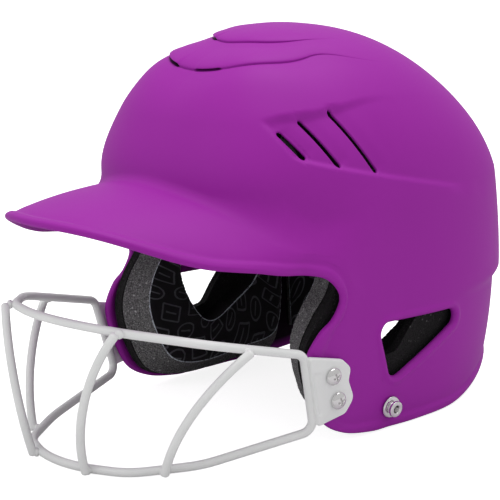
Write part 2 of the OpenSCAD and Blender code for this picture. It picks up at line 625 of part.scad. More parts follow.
shell();
guard_loop();
guard_upright_outer();  // guard_upright_outer_left
right() guard_upright_outer();  // guard_upright_outer_right
guard_upright_inner();  // guard_upright_inner_left
right() guard_upright_inner();  // guard_upright_inner_right
guard_plate();  // guard_plate_left
right() guard_plate();  // guard_plate_right
guard_screws();  // guard_screws_left
right() guard_screws();  // guard_screws_right
tee_nuts();  // tee_nuts_left
right() tee_nuts();  // tee_nuts_right
snap_stud();  // snap_stud_left
right() snap_stud();  // snap_stud_right
stud_washer();  // stud_washer_left
right() stud_washer();  // stud_washer_right
ear_pad_outer();  // ear_pad_outer_left
right() ear_pad_outer();  // ear_pad_outer_right
ear_pad_inner();  // ear_pad_inner_left
right() ear_pad_inner();  // ear_pad_inner_right
rear_pad_center();
rear_pad_side();  // rear_pad_left
right() rear_pad_side();  // rear_pad_right
brow_pad();
upper_pad();  // upper_pad_left
right() upper_pad();  // upper_pad_right
crown_pad();
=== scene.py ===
"""Softball batting helmet with a wire face guard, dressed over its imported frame.

The classes hold their sizes in millimetres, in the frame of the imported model: the helmet
faces -Y, the wearer's left is +X, and the ear flaps stand on z = 0. A mesh becomes metres
when it is written.
"""

from __future__ import annotations

import logging
import math
from collections.abc import Callable, Sequence
from dataclasses import dataclass, field
from enum import Enum
from typing import ClassVar

import bmesh
import bpy
import numpy as np
from mathutils import Matrix, Vector


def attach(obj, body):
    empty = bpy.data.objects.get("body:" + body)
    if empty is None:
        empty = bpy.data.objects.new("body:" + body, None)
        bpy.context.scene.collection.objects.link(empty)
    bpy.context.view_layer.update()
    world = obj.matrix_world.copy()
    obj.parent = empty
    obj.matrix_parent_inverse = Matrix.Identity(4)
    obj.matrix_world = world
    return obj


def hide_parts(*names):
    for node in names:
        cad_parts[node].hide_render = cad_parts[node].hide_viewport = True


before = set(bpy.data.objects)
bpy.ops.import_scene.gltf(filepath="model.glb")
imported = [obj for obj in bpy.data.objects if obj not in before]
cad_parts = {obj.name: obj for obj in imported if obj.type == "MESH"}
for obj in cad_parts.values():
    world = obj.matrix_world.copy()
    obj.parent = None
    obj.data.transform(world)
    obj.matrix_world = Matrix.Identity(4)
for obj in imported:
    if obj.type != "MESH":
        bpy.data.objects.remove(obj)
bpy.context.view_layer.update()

LOG = logging.getLogger("helmet")
MM = 0.001
BODY = "root"
Array = np.ndarray
Pick = Callable[[Array, Array], Array]
Tree, Node, Socket = bpy.types.NodeTree, bpy.types.Node, bpy.types.NodeSocket
Material, Piece = bpy.types.Material, bpy.types.Object


class Side(Enum):
    """The wearer's side that a piece sits on, with the sign of its x."""

    LEFT = ("left", 1.0)
    RIGHT = ("right", -1.0)

    @property
    def word(self) -> str:
        """The word that ends the names of pieces and nodes on this side."""
        return self.value[0]

    @property
    def sign(self) -> float:
        """1 on the wearer's left, which is +X, and -1 on the right."""
        return self.value[1]

    def take(self, points: Array) -> Array:
        """Points that were drawn on the left, taken to this side."""
        return points if self is Side.LEFT else flipped(points)


def mix(a: Array | float, b: Array | float, f: Array | float) -> Array:
    """Straight blend from a at f = 0 to b at f = 1."""
    return a + (b - a) * f


def smooth(f: Array | float) -> Array:
    """S-shaped step 3g^2 - 2g^3 of f held between 0 and 1."""
    g = np.clip(f, 0.0, 1.0)
    return g * g * (3.0 - 2.0 * g)


def hill(f: Array | float, middle: float, width: float) -> Array:
    """Gaussian hill exp(-g^2), where g is the distance of f from its middle over its width."""
    return np.exp(-(((f - middle) / width) ** 2))


def sind(p: Array | float) -> Array:
    """Sine of an angle in degrees."""
    return np.sin(np.radians(p))


def cosd(p: Array | float) -> Array:
    """Cosine of an angle in degrees."""
    return np.cos(np.radians(p))


def unit(v: Array) -> Array:
    """Vectors of length one along the last axis."""
    return v / np.maximum(np.linalg.norm(v, axis=-1, keepdims=True), 1e-9)


def flipped(points: Array) -> Array:
    """The points mirrored in the plane x = 0."""
    return points * np.array([-1.0, 1.0, 1.0])


def spline(keys: Array, f: Array) -> Array:
    """Catmull-Rom curve through keys.

    The point at f is the cubic that passes through keys floor(f) and floor(f) + 1 with
    half the chord of their neighbours as slopes.

    Args:
        keys: Points, one a row.
        f: Running indices.

    Returns:
        One point for each index.
    """
    last = len(keys) - 1
    i = np.clip(np.floor(f).astype(int), 0, last)
    s = (f - i)[:, None]
    a, b, c, d = (keys[np.clip(i + k, 0, last)] for k in (-1, 0, 1, 2))
    return 0.5 * (2 * b + (c - a) * s + (2 * a - 5 * b + 4 * c - d) * s**2 + (3 * b - a - 3 * c + d) * s**3)


def rounded(points: Array, radii: Array, steps: int) -> Array:
    """Closed outline whose corners are arcs tangent to both of their sides.

    Args:
        points: Corners in the plane.
        radii: Radius of each corner.
        steps: Points on each arc.

    Returns:
        The outline's points in order.
    """
    before, after = np.roll(points, 1, 0), np.roll(points, -1, 0)
    u, v = unit(before - points), unit(after - points)
    half = np.arccos(np.sum(u * v, -1)) / 2
    centre = points + unit(u + v) * (radii / np.sin(half))[:, None]
    start = points + u * (radii / np.tan(half))[:, None] - centre
    end = points + v * (radii / np.tan(half))[:, None] - centre
    a0 = np.arctan2(start[:, 1], start[:, 0])
    turn = (np.arctan2(end[:, 1], end[:, 0]) - a0 + math.pi) % (2 * math.pi) - math.pi
    a = a0[:, None] + turn[:, None] * np.linspace(0, 1, steps)[None, :]
    arcs = centre[:, None, :] + radii[:, None, None] * np.stack([np.cos(a), np.sin(a)], -1)
    return arcs.reshape(-1, 2)


def evenly(outline: Array, count: int) -> Array:
    """A closed outline walked again with count points at equal distances."""
    loop = np.vstack([outline, outline[:1]])
    run = np.concatenate([[0.0], np.cumsum(np.linalg.norm(np.diff(loop, axis=0), axis=1))])
    at = np.linspace(0, run[-1], count, endpoint=False)
    return np.stack([np.interp(at, run, loop[:, k]) for k in range(loop.shape[1])], -1)


def outward(outline: Array) -> Array:
    """Unit normals of a closed outline in the plane, pointing away from its inside."""
    along = unit(np.roll(outline, -1, 0) - np.roll(outline, 1, 0))
    normal = np.stack([along[:, 1], -along[:, 0]], -1)
    area = np.sum(outline[:, 0] * np.roll(outline[:, 1], -1) - outline[:, 1] * np.roll(outline[:, 0], -1))
    return normal if area > 0 else -normal


def distance_to(line: Array, y: Array, z: Array) -> Array:
    """Shortest distance in the y-z plane from each place to an open line of points."""
    a, b = line[:-1], line[1:]
    q = np.stack([y, z], -1)[..., None, :]
    f = np.clip(np.sum((q - a) * (b - a), -1) / np.sum((b - a) ** 2, -1), 0, 1)
    return np.min(np.linalg.norm(q - a - f[..., None] * (b - a), axis=-1), -1)


class Draft:
    """Grids of points that are gathered and then written as one mesh."""

    def __init__(self) -> None:
        """An empty draft."""
        self.count = 0
        self.points: list[Array] = []
        self.quads: list[Array] = []
        self.uvs: list[Array] = []
        self.slots: list[Array] = []
        self.marks: list[Array] = []
        self.rings: list[Array] = []

    def grid(
        self, points: Array, around: bool = False, across: bool = False, uv: Array | None = None,
        slot: int | Array = 0, mark: Array | float = 0.0, ring: Array | int = 0, keep: Array | None = None,
    ) -> None:
        """Adds a grid of points with a quad in each of its cells.

        Args:
            points: The grid, as rows, columns and x, y, z in millimetres.
            around: Whether the last row joins the first.
            across: Whether the last column joins the first.
            uv: A grid of pattern places, one larger where the grid is joined.
            slot: Finish number of every cell, or one for each cell.
            mark: Value of the attribute "mark", for the grid or for each point.
            ring: Number of the skin that a point belongs to, used where holes are joined.
            keep: Which cells get a face; all of them if left out.
        """
        n, m = points.shape[:2]
        ids = self.count + np.arange(n * m).reshape(n, m)
        if around:
            ids = np.vstack([ids, ids[:1]])
        if across:
            ids = np.hstack([ids, ids[:, :1]])
        cells = [np.s_[:-1, :-1], np.s_[1:, :-1], np.s_[1:, 1:], np.s_[:-1, 1:]]
        quads = np.stack([ids[c] for c in cells], -1)
        if uv is None:
            uv = np.zeros(ids.shape + (2,))
        places = np.stack([uv[c] for c in cells], -2)
        chosen = np.ones(quads.shape[:2], bool) if keep is None else keep
        self.points.append(points.reshape(-1, 3))
        self.quads.append(quads[chosen])
        self.uvs.append(places[chosen].reshape(-1, 2))
        self.slots.append(np.broadcast_to(slot, quads.shape[:2])[chosen])
        self.marks.append(np.broadcast_to(mark, (n, m)).ravel())
        self.rings.append(np.broadcast_to(ring, (n, m)).ravel())
        self.count += n * m

    def build(
        self, name: str, finishes: list[Material], crease: float = 40.0, pick: Pick | None = None
    ) -> Piece:
        """Writes the draft as a closed object whose faces point outwards.

        Args:
            name: The piece's name.
            finishes: Its materials, in the order of the finish numbers.
            crease: Angle in degrees past which an edge is shaded as a crease.
            pick: Sorts the open edges into rings that are joined.

        Returns:
            The object, at the origin.
        """
        quads = np.concatenate(self.quads)
        mesh = bpy.data.meshes.new(name)
        mesh.vertices.add(self.count)
        mesh.vertices.foreach_set("co", (np.concatenate(self.points) * MM).ravel())
        mesh.loops.add(quads.size)
        mesh.loops.foreach_set("vertex_index", quads.ravel())
        mesh.polygons.add(len(quads))
        mesh.polygons.foreach_set("loop_start", np.arange(len(quads)) * 4)
        mesh.polygons.foreach_set("material_index", np.concatenate(self.slots).astype(np.int32))
        mesh.uv_layers.new(name="UVMap").data.foreach_set("uv", np.concatenate(self.uvs).ravel())
        mark = mesh.attributes.new("mark", "FLOAT", "POINT")
        mark.data.foreach_set("value", np.concatenate(self.marks).astype(np.float32))
        ring = mesh.attributes.new("ring", "INT", "POINT")
        ring.data.foreach_set("value", np.concatenate(self.rings).astype(np.int32))
        mesh.update(calc_edges=True)
        piece = bpy.data.objects.new(name, mesh)
        bpy.context.scene.collection.objects.link(piece)
        for finish in finishes:
            mesh.materials.append(finish)
        close(piece, crease, pick)
        mesh.attributes.remove(mesh.attributes["ring"])
        return piece


def close(piece: Piece, crease: float, pick: Pick | None = None) -> None:
    """Welds seams and poles, joins open rings, and turns the faces outwards.

    Args:
        piece: The object to finish.
        crease: Angle in degrees past which an edge is shaded as a crease.
        pick: Gives each open edge, by its middle and its skin, the number of the ring that it
            belongs to; the two loops of a ring are joined by a strip of faces.
    """
    shape = bmesh.new()
    shape.from_mesh(piece.data)
    bmesh.ops.remove_doubles(shape, verts=shape.verts, dist=2e-6)
    bmesh.ops.dissolve_degenerate(shape, edges=shape.edges, dist=1e-7)
    if pick:
        skin = shape.verts.layers.int["ring"]
        edges = [e for e in shape.edges if e.is_boundary]
        middle = np.array([(e.verts[0].co + e.verts[1].co) / 2 for e in edges]) / MM
        numbers = pick(middle, np.array([e.verts[0][skin] for e in edges]))
        for number in np.unique(numbers):
            bmesh.ops.bridge_loops(shape, edges=[e for e, k in zip(edges, numbers) if k == number])
    bmesh.ops.recalc_face_normals(shape, faces=shape.faces)
    if shape.calc_volume(signed=True) < 0:
        bmesh.ops.reverse_faces(shape, faces=shape.faces)
    for face in shape.faces:
        face.smooth = True
    shape.to_mesh(piece.data)
    shape.free()
    piece.data.set_sharp_from_angle(angle=math.radians(crease))


class Sheet:
    """A node tree with short ways to add nodes and join their sockets."""

    def __init__(self, tree: Tree) -> None:
        """Works on this tree."""
        self.tree = tree

    def node(self, kind: str, values: dict | None = None, **settings: object) -> Node:
        """Adds a node with its settings, and feeds the inputs that values names or numbers."""
        made = self.tree.nodes.new(kind)
        for key, value in settings.items():
            setattr(made, key, value)
        self.join(made, values or {})
        return made

    def join(self, node: Node, values: dict) -> None:
        """Feeds the inputs that values names or numbers."""
        for key, value in values.items():
            self.feed(node.inputs[key], value)

    def feed(self, socket: Socket, value: object) -> None:
        """Joins a socket to another, or sets its value."""
        if isinstance(value, Socket):
            self.tree.links.new(value, socket)
        else:
            socket.default_value = value

    def math(self, operation: str, *values: object) -> Socket:
        """The result of a Math node on up to three numbers or sockets."""
        return self.node("ShaderNodeMath", dict(enumerate(values)), operation=operation).outputs[0]

    def add(self, a: object, b: object) -> Socket:
        """The sum a + b."""
        return self.math("ADD", a, b)

    def less(self, a: object, b: object) -> Socket:
        """The difference a - b."""
        return self.math("SUBTRACT", a, b)

    def times(self, a: object, b: object) -> Socket:
        """The product of a and b."""
        return self.math("MULTIPLY", a, b)

    def fit(self, a: object, b: object, c: object) -> Socket:
        """The product of a and b, with c added."""
        return self.math("MULTIPLY_ADD", a, b, c)

    def size(self, a: object) -> Socket:
        """The value a without its sign."""
        return self.math("ABSOLUTE", a)

    def step(self, value: object, low: float, high: float) -> Socket:
        """A smooth rise from 0 at low to 1 at high."""
        ends = {"Value": value, "From Min": low, "From Max": high}
        return self.node("ShaderNodeMapRange", ends, interpolation_type="SMOOTHSTEP").outputs["Result"]

    def noise(self, vector: object, scale: object, detail: float = 2.0) -> Socket:
        """The value of a noise texture."""
        values = {"Vector": vector, "Scale": scale, "Detail": detail}
        return self.node("ShaderNodeTexNoise", values).outputs["Fac"]

    def blend(self, share: object, first: object, second: object) -> Socket:
        """A colour between first and second; the node's colour sockets are numbers 6, 7 and 2."""
        return self.node("ShaderNodeMix", {0: share, 6: first, 7: second}, data_type="RGBA").outputs[2]


def effect(name: str, inputs: dict[str, float], outputs: list[str]) -> tuple:
    """An empty shader node group that reads a vector and some numbers.

    Args:
        name: The group's name.
        inputs: Name and starting value of each number that it reads.
        outputs: Names of the numbers that it gives.

    Returns:
        The group's sheet, the sockets that its inputs give, and those that its outputs take.
    """
    group = bpy.data.node_groups.new(name, "ShaderNodeTree")
    group.interface.new_socket("Vector", in_out="INPUT", socket_type="NodeSocketVector")
    for label, value in inputs.items():
        socket = group.interface.new_socket(label, in_out="INPUT", socket_type="NodeSocketFloat")
        socket.default_value = value
    for label in outputs:
        group.interface.new_socket(label, in_out="OUTPUT", socket_type="NodeSocketFloat")
    sheet = Sheet(group)
    return sheet, sheet.node("NodeGroupInput").outputs, sheet.node("NodeGroupOutput").inputs


class Effects:
    """The shader groups that several finishes share, each built once."""

    def __init__(self) -> None:
        """Builds every group."""
        self.grain = self.make_grain()
        self.cloud = self.make_cloud()
        self.specks = self.make_specks()
        self.knit = self.make_knit()
        self.motif = self.make_motif()

    @staticmethod
    def make_grain() -> Tree:
        """Fine moulded texture: rounded cells mixed with a softer noise."""
        sheet, given, out = effect("fine_grain", {"Scale": 900.0, "Cells": 0.5}, ["Height"])
        values = {"Vector": given[0], "Scale": given[1]}
        cells = sheet.node("ShaderNodeTexVoronoi", values, feature="SMOOTH_F1")
        soft = sheet.noise(given[0], sheet.times(given[1], 0.6), 3.0)
        height = sheet.fit(cells.outputs["Distance"], given[2], soft)
        sheet.feed(out[0], height)
        return sheet.tree

    @staticmethod
    def make_cloud() -> Tree:
        """Slow variation over a surface, between 0 and 1."""
        sheet, given, out = effect("slow_cloud", {"Scale": 14.0}, ["Mask"])
        noise = sheet.noise(given[0], given[1], 4.0)
        sheet.feed(out[0], sheet.step(noise, 0.32, 0.68))
        return sheet.tree

    @staticmethod
    def make_specks() -> Tree:
        """Small pale points where a cell of a foam is cut open."""
        sheet, given, out = effect("open_cells", {"Scale": 1200.0, "Share": 0.12}, ["Mask", "Height"])
        cells = sheet.node("ShaderNodeTexVoronoi", {"Vector": given[0], "Scale": given[1]})
        lucky = sheet.node("ShaderNodeSeparateColor", {"Color": cells.outputs["Color"]}).outputs[0]
        chosen = sheet.math("LESS_THAN", lucky, given[2])
        point = sheet.less(1.0, sheet.step(cells.outputs["Distance"], 0.12, 0.5))
        sheet.feed(out[0], sheet.times(chosen, point))
        sheet.feed(out[1], cells.outputs["Distance"])
        return sheet.tree

    @staticmethod
    def make_knit() -> Tree:
        """Warp-knit cloth: crossed ribs with the given pitch on the piece's own UV, in millimetres."""
        sheet, given, out = effect("tricot_knit", {"Pitch": 0.8}, ["Height", "Shade"])
        parts = sheet.node("ShaderNodeSeparateXYZ", {"Vector": given[0]})
        turn = sheet.math("DIVIDE", 2 * math.pi, given[1])
        ribs = sheet.math("SINE", sheet.times(parts.outputs[0], turn))
        rows = sheet.math("SINE", sheet.times(parts.outputs[1], sheet.times(turn, 1.4)))
        height = sheet.fit(sheet.times(ribs, rows), 0.5, 0.5)
        loose = sheet.noise(given[0], 0.9, 2.0)
        sheet.feed(out[0], sheet.fit(loose, 0.6, height))
        sheet.feed(out[1], sheet.fit(height, 0.4, sheet.times(loose, 0.6)))
        return sheet.tree

    @staticmethod
    def make_motif() -> Tree:
        """Plain repeat print: outlined lozenges and rings in turn, each with a small solid mark."""
        sheet, given, out = effect("plain_print", {"Cell": 15.0}, ["Mask"])
        parts = sheet.node("ShaderNodeSeparateXYZ", {"Vector": given[0]})
        row_raw = sheet.math("DIVIDE", parts.outputs[1], given[1])
        row = sheet.math("FLOOR", row_raw)
        shift = sheet.times(sheet.math("MODULO", row, 2.0), 0.5)
        col_raw = sheet.add(sheet.math("DIVIDE", parts.outputs[0], given[1]), shift)
        u = sheet.less(sheet.math("FRACT", col_raw), 0.5)
        v = sheet.less(sheet.math("FRACT", row_raw), 0.5)
        au, av = sheet.size(u), sheet.size(v)
        number = sheet.size(sheet.add(sheet.math("FLOOR", col_raw), row))
        odd = sheet.math("MODULO", number, 2.0)
        squares = [sheet.math("POWER", side, 2.0) for side in (au, sheet.times(av, 0.8))]
        ring = sheet.math("SQRT", sheet.add(*squares))
        lozenge = sheet.times(sheet.add(au, av), 0.62)
        reach = sheet.add(sheet.times(ring, sheet.less(1.0, odd)), sheet.times(lozenge, odd))
        line = sheet.math("LESS_THAN", sheet.size(sheet.less(reach, 0.3)), 0.03)
        bar = sheet.math("LESS_THAN", sheet.size(sheet.add(u, v)), 0.05)
        solid = sheet.times(sheet.math("LESS_THAN", reach, 0.19), bar)
        sheet.feed(out[0], sheet.math("MAXIMUM", line, solid))
        return sheet.tree


EFFECTS = Effects()


def placed(sheet: Sheet, group: Tree, where: Socket, **values: float) -> Sequence[Socket]:
    """The outputs of a shared effect that is placed in a material."""
    return sheet.node("ShaderNodeGroup", {"Vector": where, **values}, node_tree=group).outputs


def bumped(sheet: Sheet, height: Socket, strength: float, depth: float) -> Socket:
    """A normal bumped by a height, in millimetres of depth."""
    values = {"Strength": strength, "Distance": depth * MM, "Height": height}
    return sheet.node("ShaderNodeBump", values).outputs[0]


@dataclass(frozen=True)
class Finish:
    """A material of one Principled shader; each kind says what feeds its sockets.

    Its texture reads the coordinates that are named: Object, in metres, or the piece's own UV,
    in millimetres.
    """

    name: str
    coordinates: ClassVar[str] = "Object"

    def sockets(self, sheet: Sheet, where: Socket) -> dict:
        """The number, colour or socket that feeds each of the shader's sockets."""
        raise NotImplementedError

    def make(self) -> Material:
        """Builds the material."""
        made = bpy.data.materials.new(self.name)
        made.use_nodes = True
        sheet = Sheet(made.node_tree)
        where = sheet.node("ShaderNodeTexCoord").outputs[self.coordinates]
        sheet.join(made.node_tree.nodes["Principled BSDF"], self.sockets(sheet, where))
        return made


@dataclass(frozen=True)
class ShellPaint(Finish):
    """Matte soft-touch paint of the shell, with painted shade near black inside the vents and in the tiers'
    creases, and the dark inside of the shell.
    """

    name: str = "matte_purple"
    colour: tuple = (0.36, 0.017, 0.385, 1.0)
    pale: tuple = (0.39, 0.020, 0.415, 1.0)
    # Near black of marked places: painted shade in vents and tier creases, and the dark inside of the shell.
    vent: tuple = (0.004, 0.002, 0.004, 1.0)
    roughness: float = 0.55
    grain: float = 2600.0

    def sockets(self, sheet: Sheet, where: Socket) -> dict:
        """A slow change of tone, near black where the mesh is marked (painted shade in vents and creases, and
        the dark inside), and a fine grain.
        """
        cloud = placed(sheet, EFFECTS.cloud, where, Scale=11.0)[0]
        colour = sheet.blend(sheet.times(cloud, 0.35), self.colour, self.pale)
        mark = sheet.node("ShaderNodeAttribute", attribute_name="mark").outputs["Fac"]
        grain = placed(sheet, EFFECTS.grain, where, Scale=self.grain)[0]
        return {
            "Base Color": sheet.blend(mark, colour, self.vent),
            "Roughness": sheet.fit(grain, 0.08, self.roughness - 0.04),
            "Specular IOR Level": 0.2,
            "Normal": bumped(sheet, grain, 0.16, 0.05),
        }


@dataclass(frozen=True)
class PowderCoat(Finish):
    """Satin white powder coat with a slight orange peel."""

    name: str = "white_powder_coat"
    colour: tuple = (0.93, 0.935, 0.93, 1.0)
    shade: tuple = (0.89, 0.90, 0.895, 1.0)
    roughness: float = 0.36

    def sockets(self, sheet: Sheet, where: Socket) -> dict:
        """A slow change of shade and the orange peel."""
        cloud = placed(sheet, EFFECTS.cloud, where, Scale=40.0)[0]
        grain = placed(sheet, EFFECTS.grain, where, Scale=700.0, Cells=0.2)[0]
        return {
            "Base Color": sheet.blend(cloud, self.colour, self.shade),
            "Roughness": sheet.fit(grain, 0.1, self.roughness - 0.05),
            "Normal": bumped(sheet, grain, 0.2, 0.12),
        }


@dataclass(frozen=True)
class PlatedMetal(Finish):
    """Bright or brushed plate on the fasteners, with fine hairlines in its gloss."""

    name: str = "bright_nickel"
    colour: tuple = (0.78, 0.77, 0.77, 1.0)
    roughness: float = 0.12
    hairlines: float = 0.05

    def sockets(self, sheet: Sheet, where: Socket) -> dict:
        """Plain metal whose roughness and normal follow stretched noise."""
        stretch = sheet.node("ShaderNodeMapping", {"Vector": where, "Scale": (900.0, 2500.0, 300.0)})
        lines = sheet.noise(stretch.outputs[0], 1.0, 3.0)
        return {
            "Base Color": self.colour,
            "Metallic": 1.0,
            "Roughness": sheet.fit(lines, self.hairlines, self.roughness),
            "Normal": bumped(sheet, lines, 0.05, 0.02),
        }


@dataclass(frozen=True)
class CutFoam(Finish):
    """Charcoal closed-cell foam, cut to shape, with pale points where cells are open."""

    name: str = "charcoal_foam"
    colour: tuple = (0.20, 0.20, 0.20, 1.0)
    cell: tuple = (0.62, 0.62, 0.62, 1.0)
    share: float = 0.36
    scale: float = 1300.0

    def sockets(self, sheet: Sheet, where: Socket) -> dict:
        """Fine and large open cells over a gritty ground."""
        fine, large = (
            placed(sheet, EFFECTS.specks, where, Scale=self.scale * a, Share=self.share * b)
            for a, b in ((1.0, 1.0), (0.45, 0.25))
        )
        cloud = placed(sheet, EFFECTS.cloud, where, Scale=60.0)[0]
        mask = sheet.math("MAXIMUM", sheet.times(fine[0], 0.7), large[0])
        lit = sheet.times(mask, sheet.fit(cloud, 0.4, 0.6))
        grit = sheet.step(sheet.noise(where, self.scale * 0.9, 3.0), 0.36, 0.62)
        ground = sheet.blend(grit, tuple(0.35 * c for c in self.colour[:3]) + (1.0,), self.colour)
        return {
            "Base Color": sheet.blend(lit, ground, self.cell),
            "Roughness": 0.9,
            "Specular IOR Level": 0.25,
            "Normal": bumped(sheet, fine[1], 0.7, 0.5),
        }


@dataclass(frozen=True)
class PrintedCloth(Finish):
    """Near-black knitted lining with a plain dark grey print."""

    name: str = "printed_lining"
    colour: tuple = (0.0075, 0.0065, 0.0085, 1.0)
    ink: tuple = (0.12, 0.123, 0.137, 1.0)
    cell: float = 17.0
    coordinates: ClassVar[str] = "UV"

    def sockets(self, sheet: Sheet, where: Socket) -> dict:
        """The print, lighter and darker with the knit, whose ribs are bumped."""
        printed = placed(sheet, EFFECTS.motif, where, Cell=self.cell)[0]
        knit = placed(sheet, EFFECTS.knit, where, Pitch=0.9)
        inked = sheet.times(printed, sheet.fit(knit[1], 0.7, 0.4))
        return {
            "Base Color": sheet.blend(inked, self.colour, self.ink),
            "Roughness": 0.85,
            "Specular IOR Level": 0.2,
            "Sheen Weight": 0.12,
            "Normal": bumped(sheet, knit[0], 0.5, 0.25),
        }


@dataclass(frozen=True)
class FrayedEdge(Finish):
    """Pale loose fibres along the cut edge of the lining."""

    name: str = "frayed_fibres"
    colour: tuple = (0.66, 0.72, 0.78, 1.0)
    dark: tuple = (0.08, 0.083, 0.09, 1.0)

    def sockets(self, sheet: Sheet, where: Socket) -> dict:
        """Pale tufts that stand out of dark gaps."""
        tufts = sheet.step(sheet.noise(where, 900.0, 4.0), 0.32, 0.5)
        return {
            "Base Color": sheet.blend(tufts, self.dark, self.colour),
            "Roughness": 0.95,
            "Normal": bumped(sheet, tufts, 0.6, 0.3),
        }


@dataclass(frozen=True)
class StudioFloor(Finish):
    """Plain white floor that the camera sees lit up a little more than it lights the helmet."""

    name: str = "pale_floor"
    colour: tuple = (0.74, 0.74, 0.74, 1.0)
    pale: tuple = (0.76, 0.76, 0.76, 1.0)
    glow: float = 0.86

    def sockets(self, sheet: Sheet, where: Socket) -> dict:
        """A faint change of shade, and a glow that only the camera sees."""
        seen = sheet.node("ShaderNodeLightPath").outputs["Is Camera Ray"]
        return {
            "Base Color": sheet.blend(sheet.noise(where, 3.0, 2.0), self.colour, self.pale),
            "Roughness": 0.9,
            "Specular IOR Level": 0.0,
            "Emission Color": (1.0, 1.0, 1.0, 1.0),
            "Emission Strength": sheet.times(seen, self.glow),
        }


BRUSHED_STEEL = PlatedMetal("brushed_steel", (0.42, 0.43, 0.44, 1.0), 0.32, 0.2)
# Near black on the thin backing and on each pad's back, and painted shade on the wall round the ear's hole.
DARK_FOAM_AND_SHADE = CutFoam("dark_foam", (0.016, 0.015, 0.016, 1.0), (0.10, 0.10, 0.10, 1.0), 0.08)


@dataclass
class Finishes:
    """Every material of the helmet, made once."""

    shell: Material = field(default_factory=ShellPaint().make)
    coat: Material = field(default_factory=PowderCoat().make)
    bright: Material = field(default_factory=PlatedMetal().make)
    steel: Material = field(default_factory=BRUSHED_STEEL.make)
    foam: Material = field(default_factory=CutFoam().make)
    dark_foam: Material = field(default_factory=DARK_FOAM_AND_SHADE.make)
    cloth: Material = field(default_factory=PrintedCloth().make)
    fray: Material = field(default_factory=FrayedEdge().make)


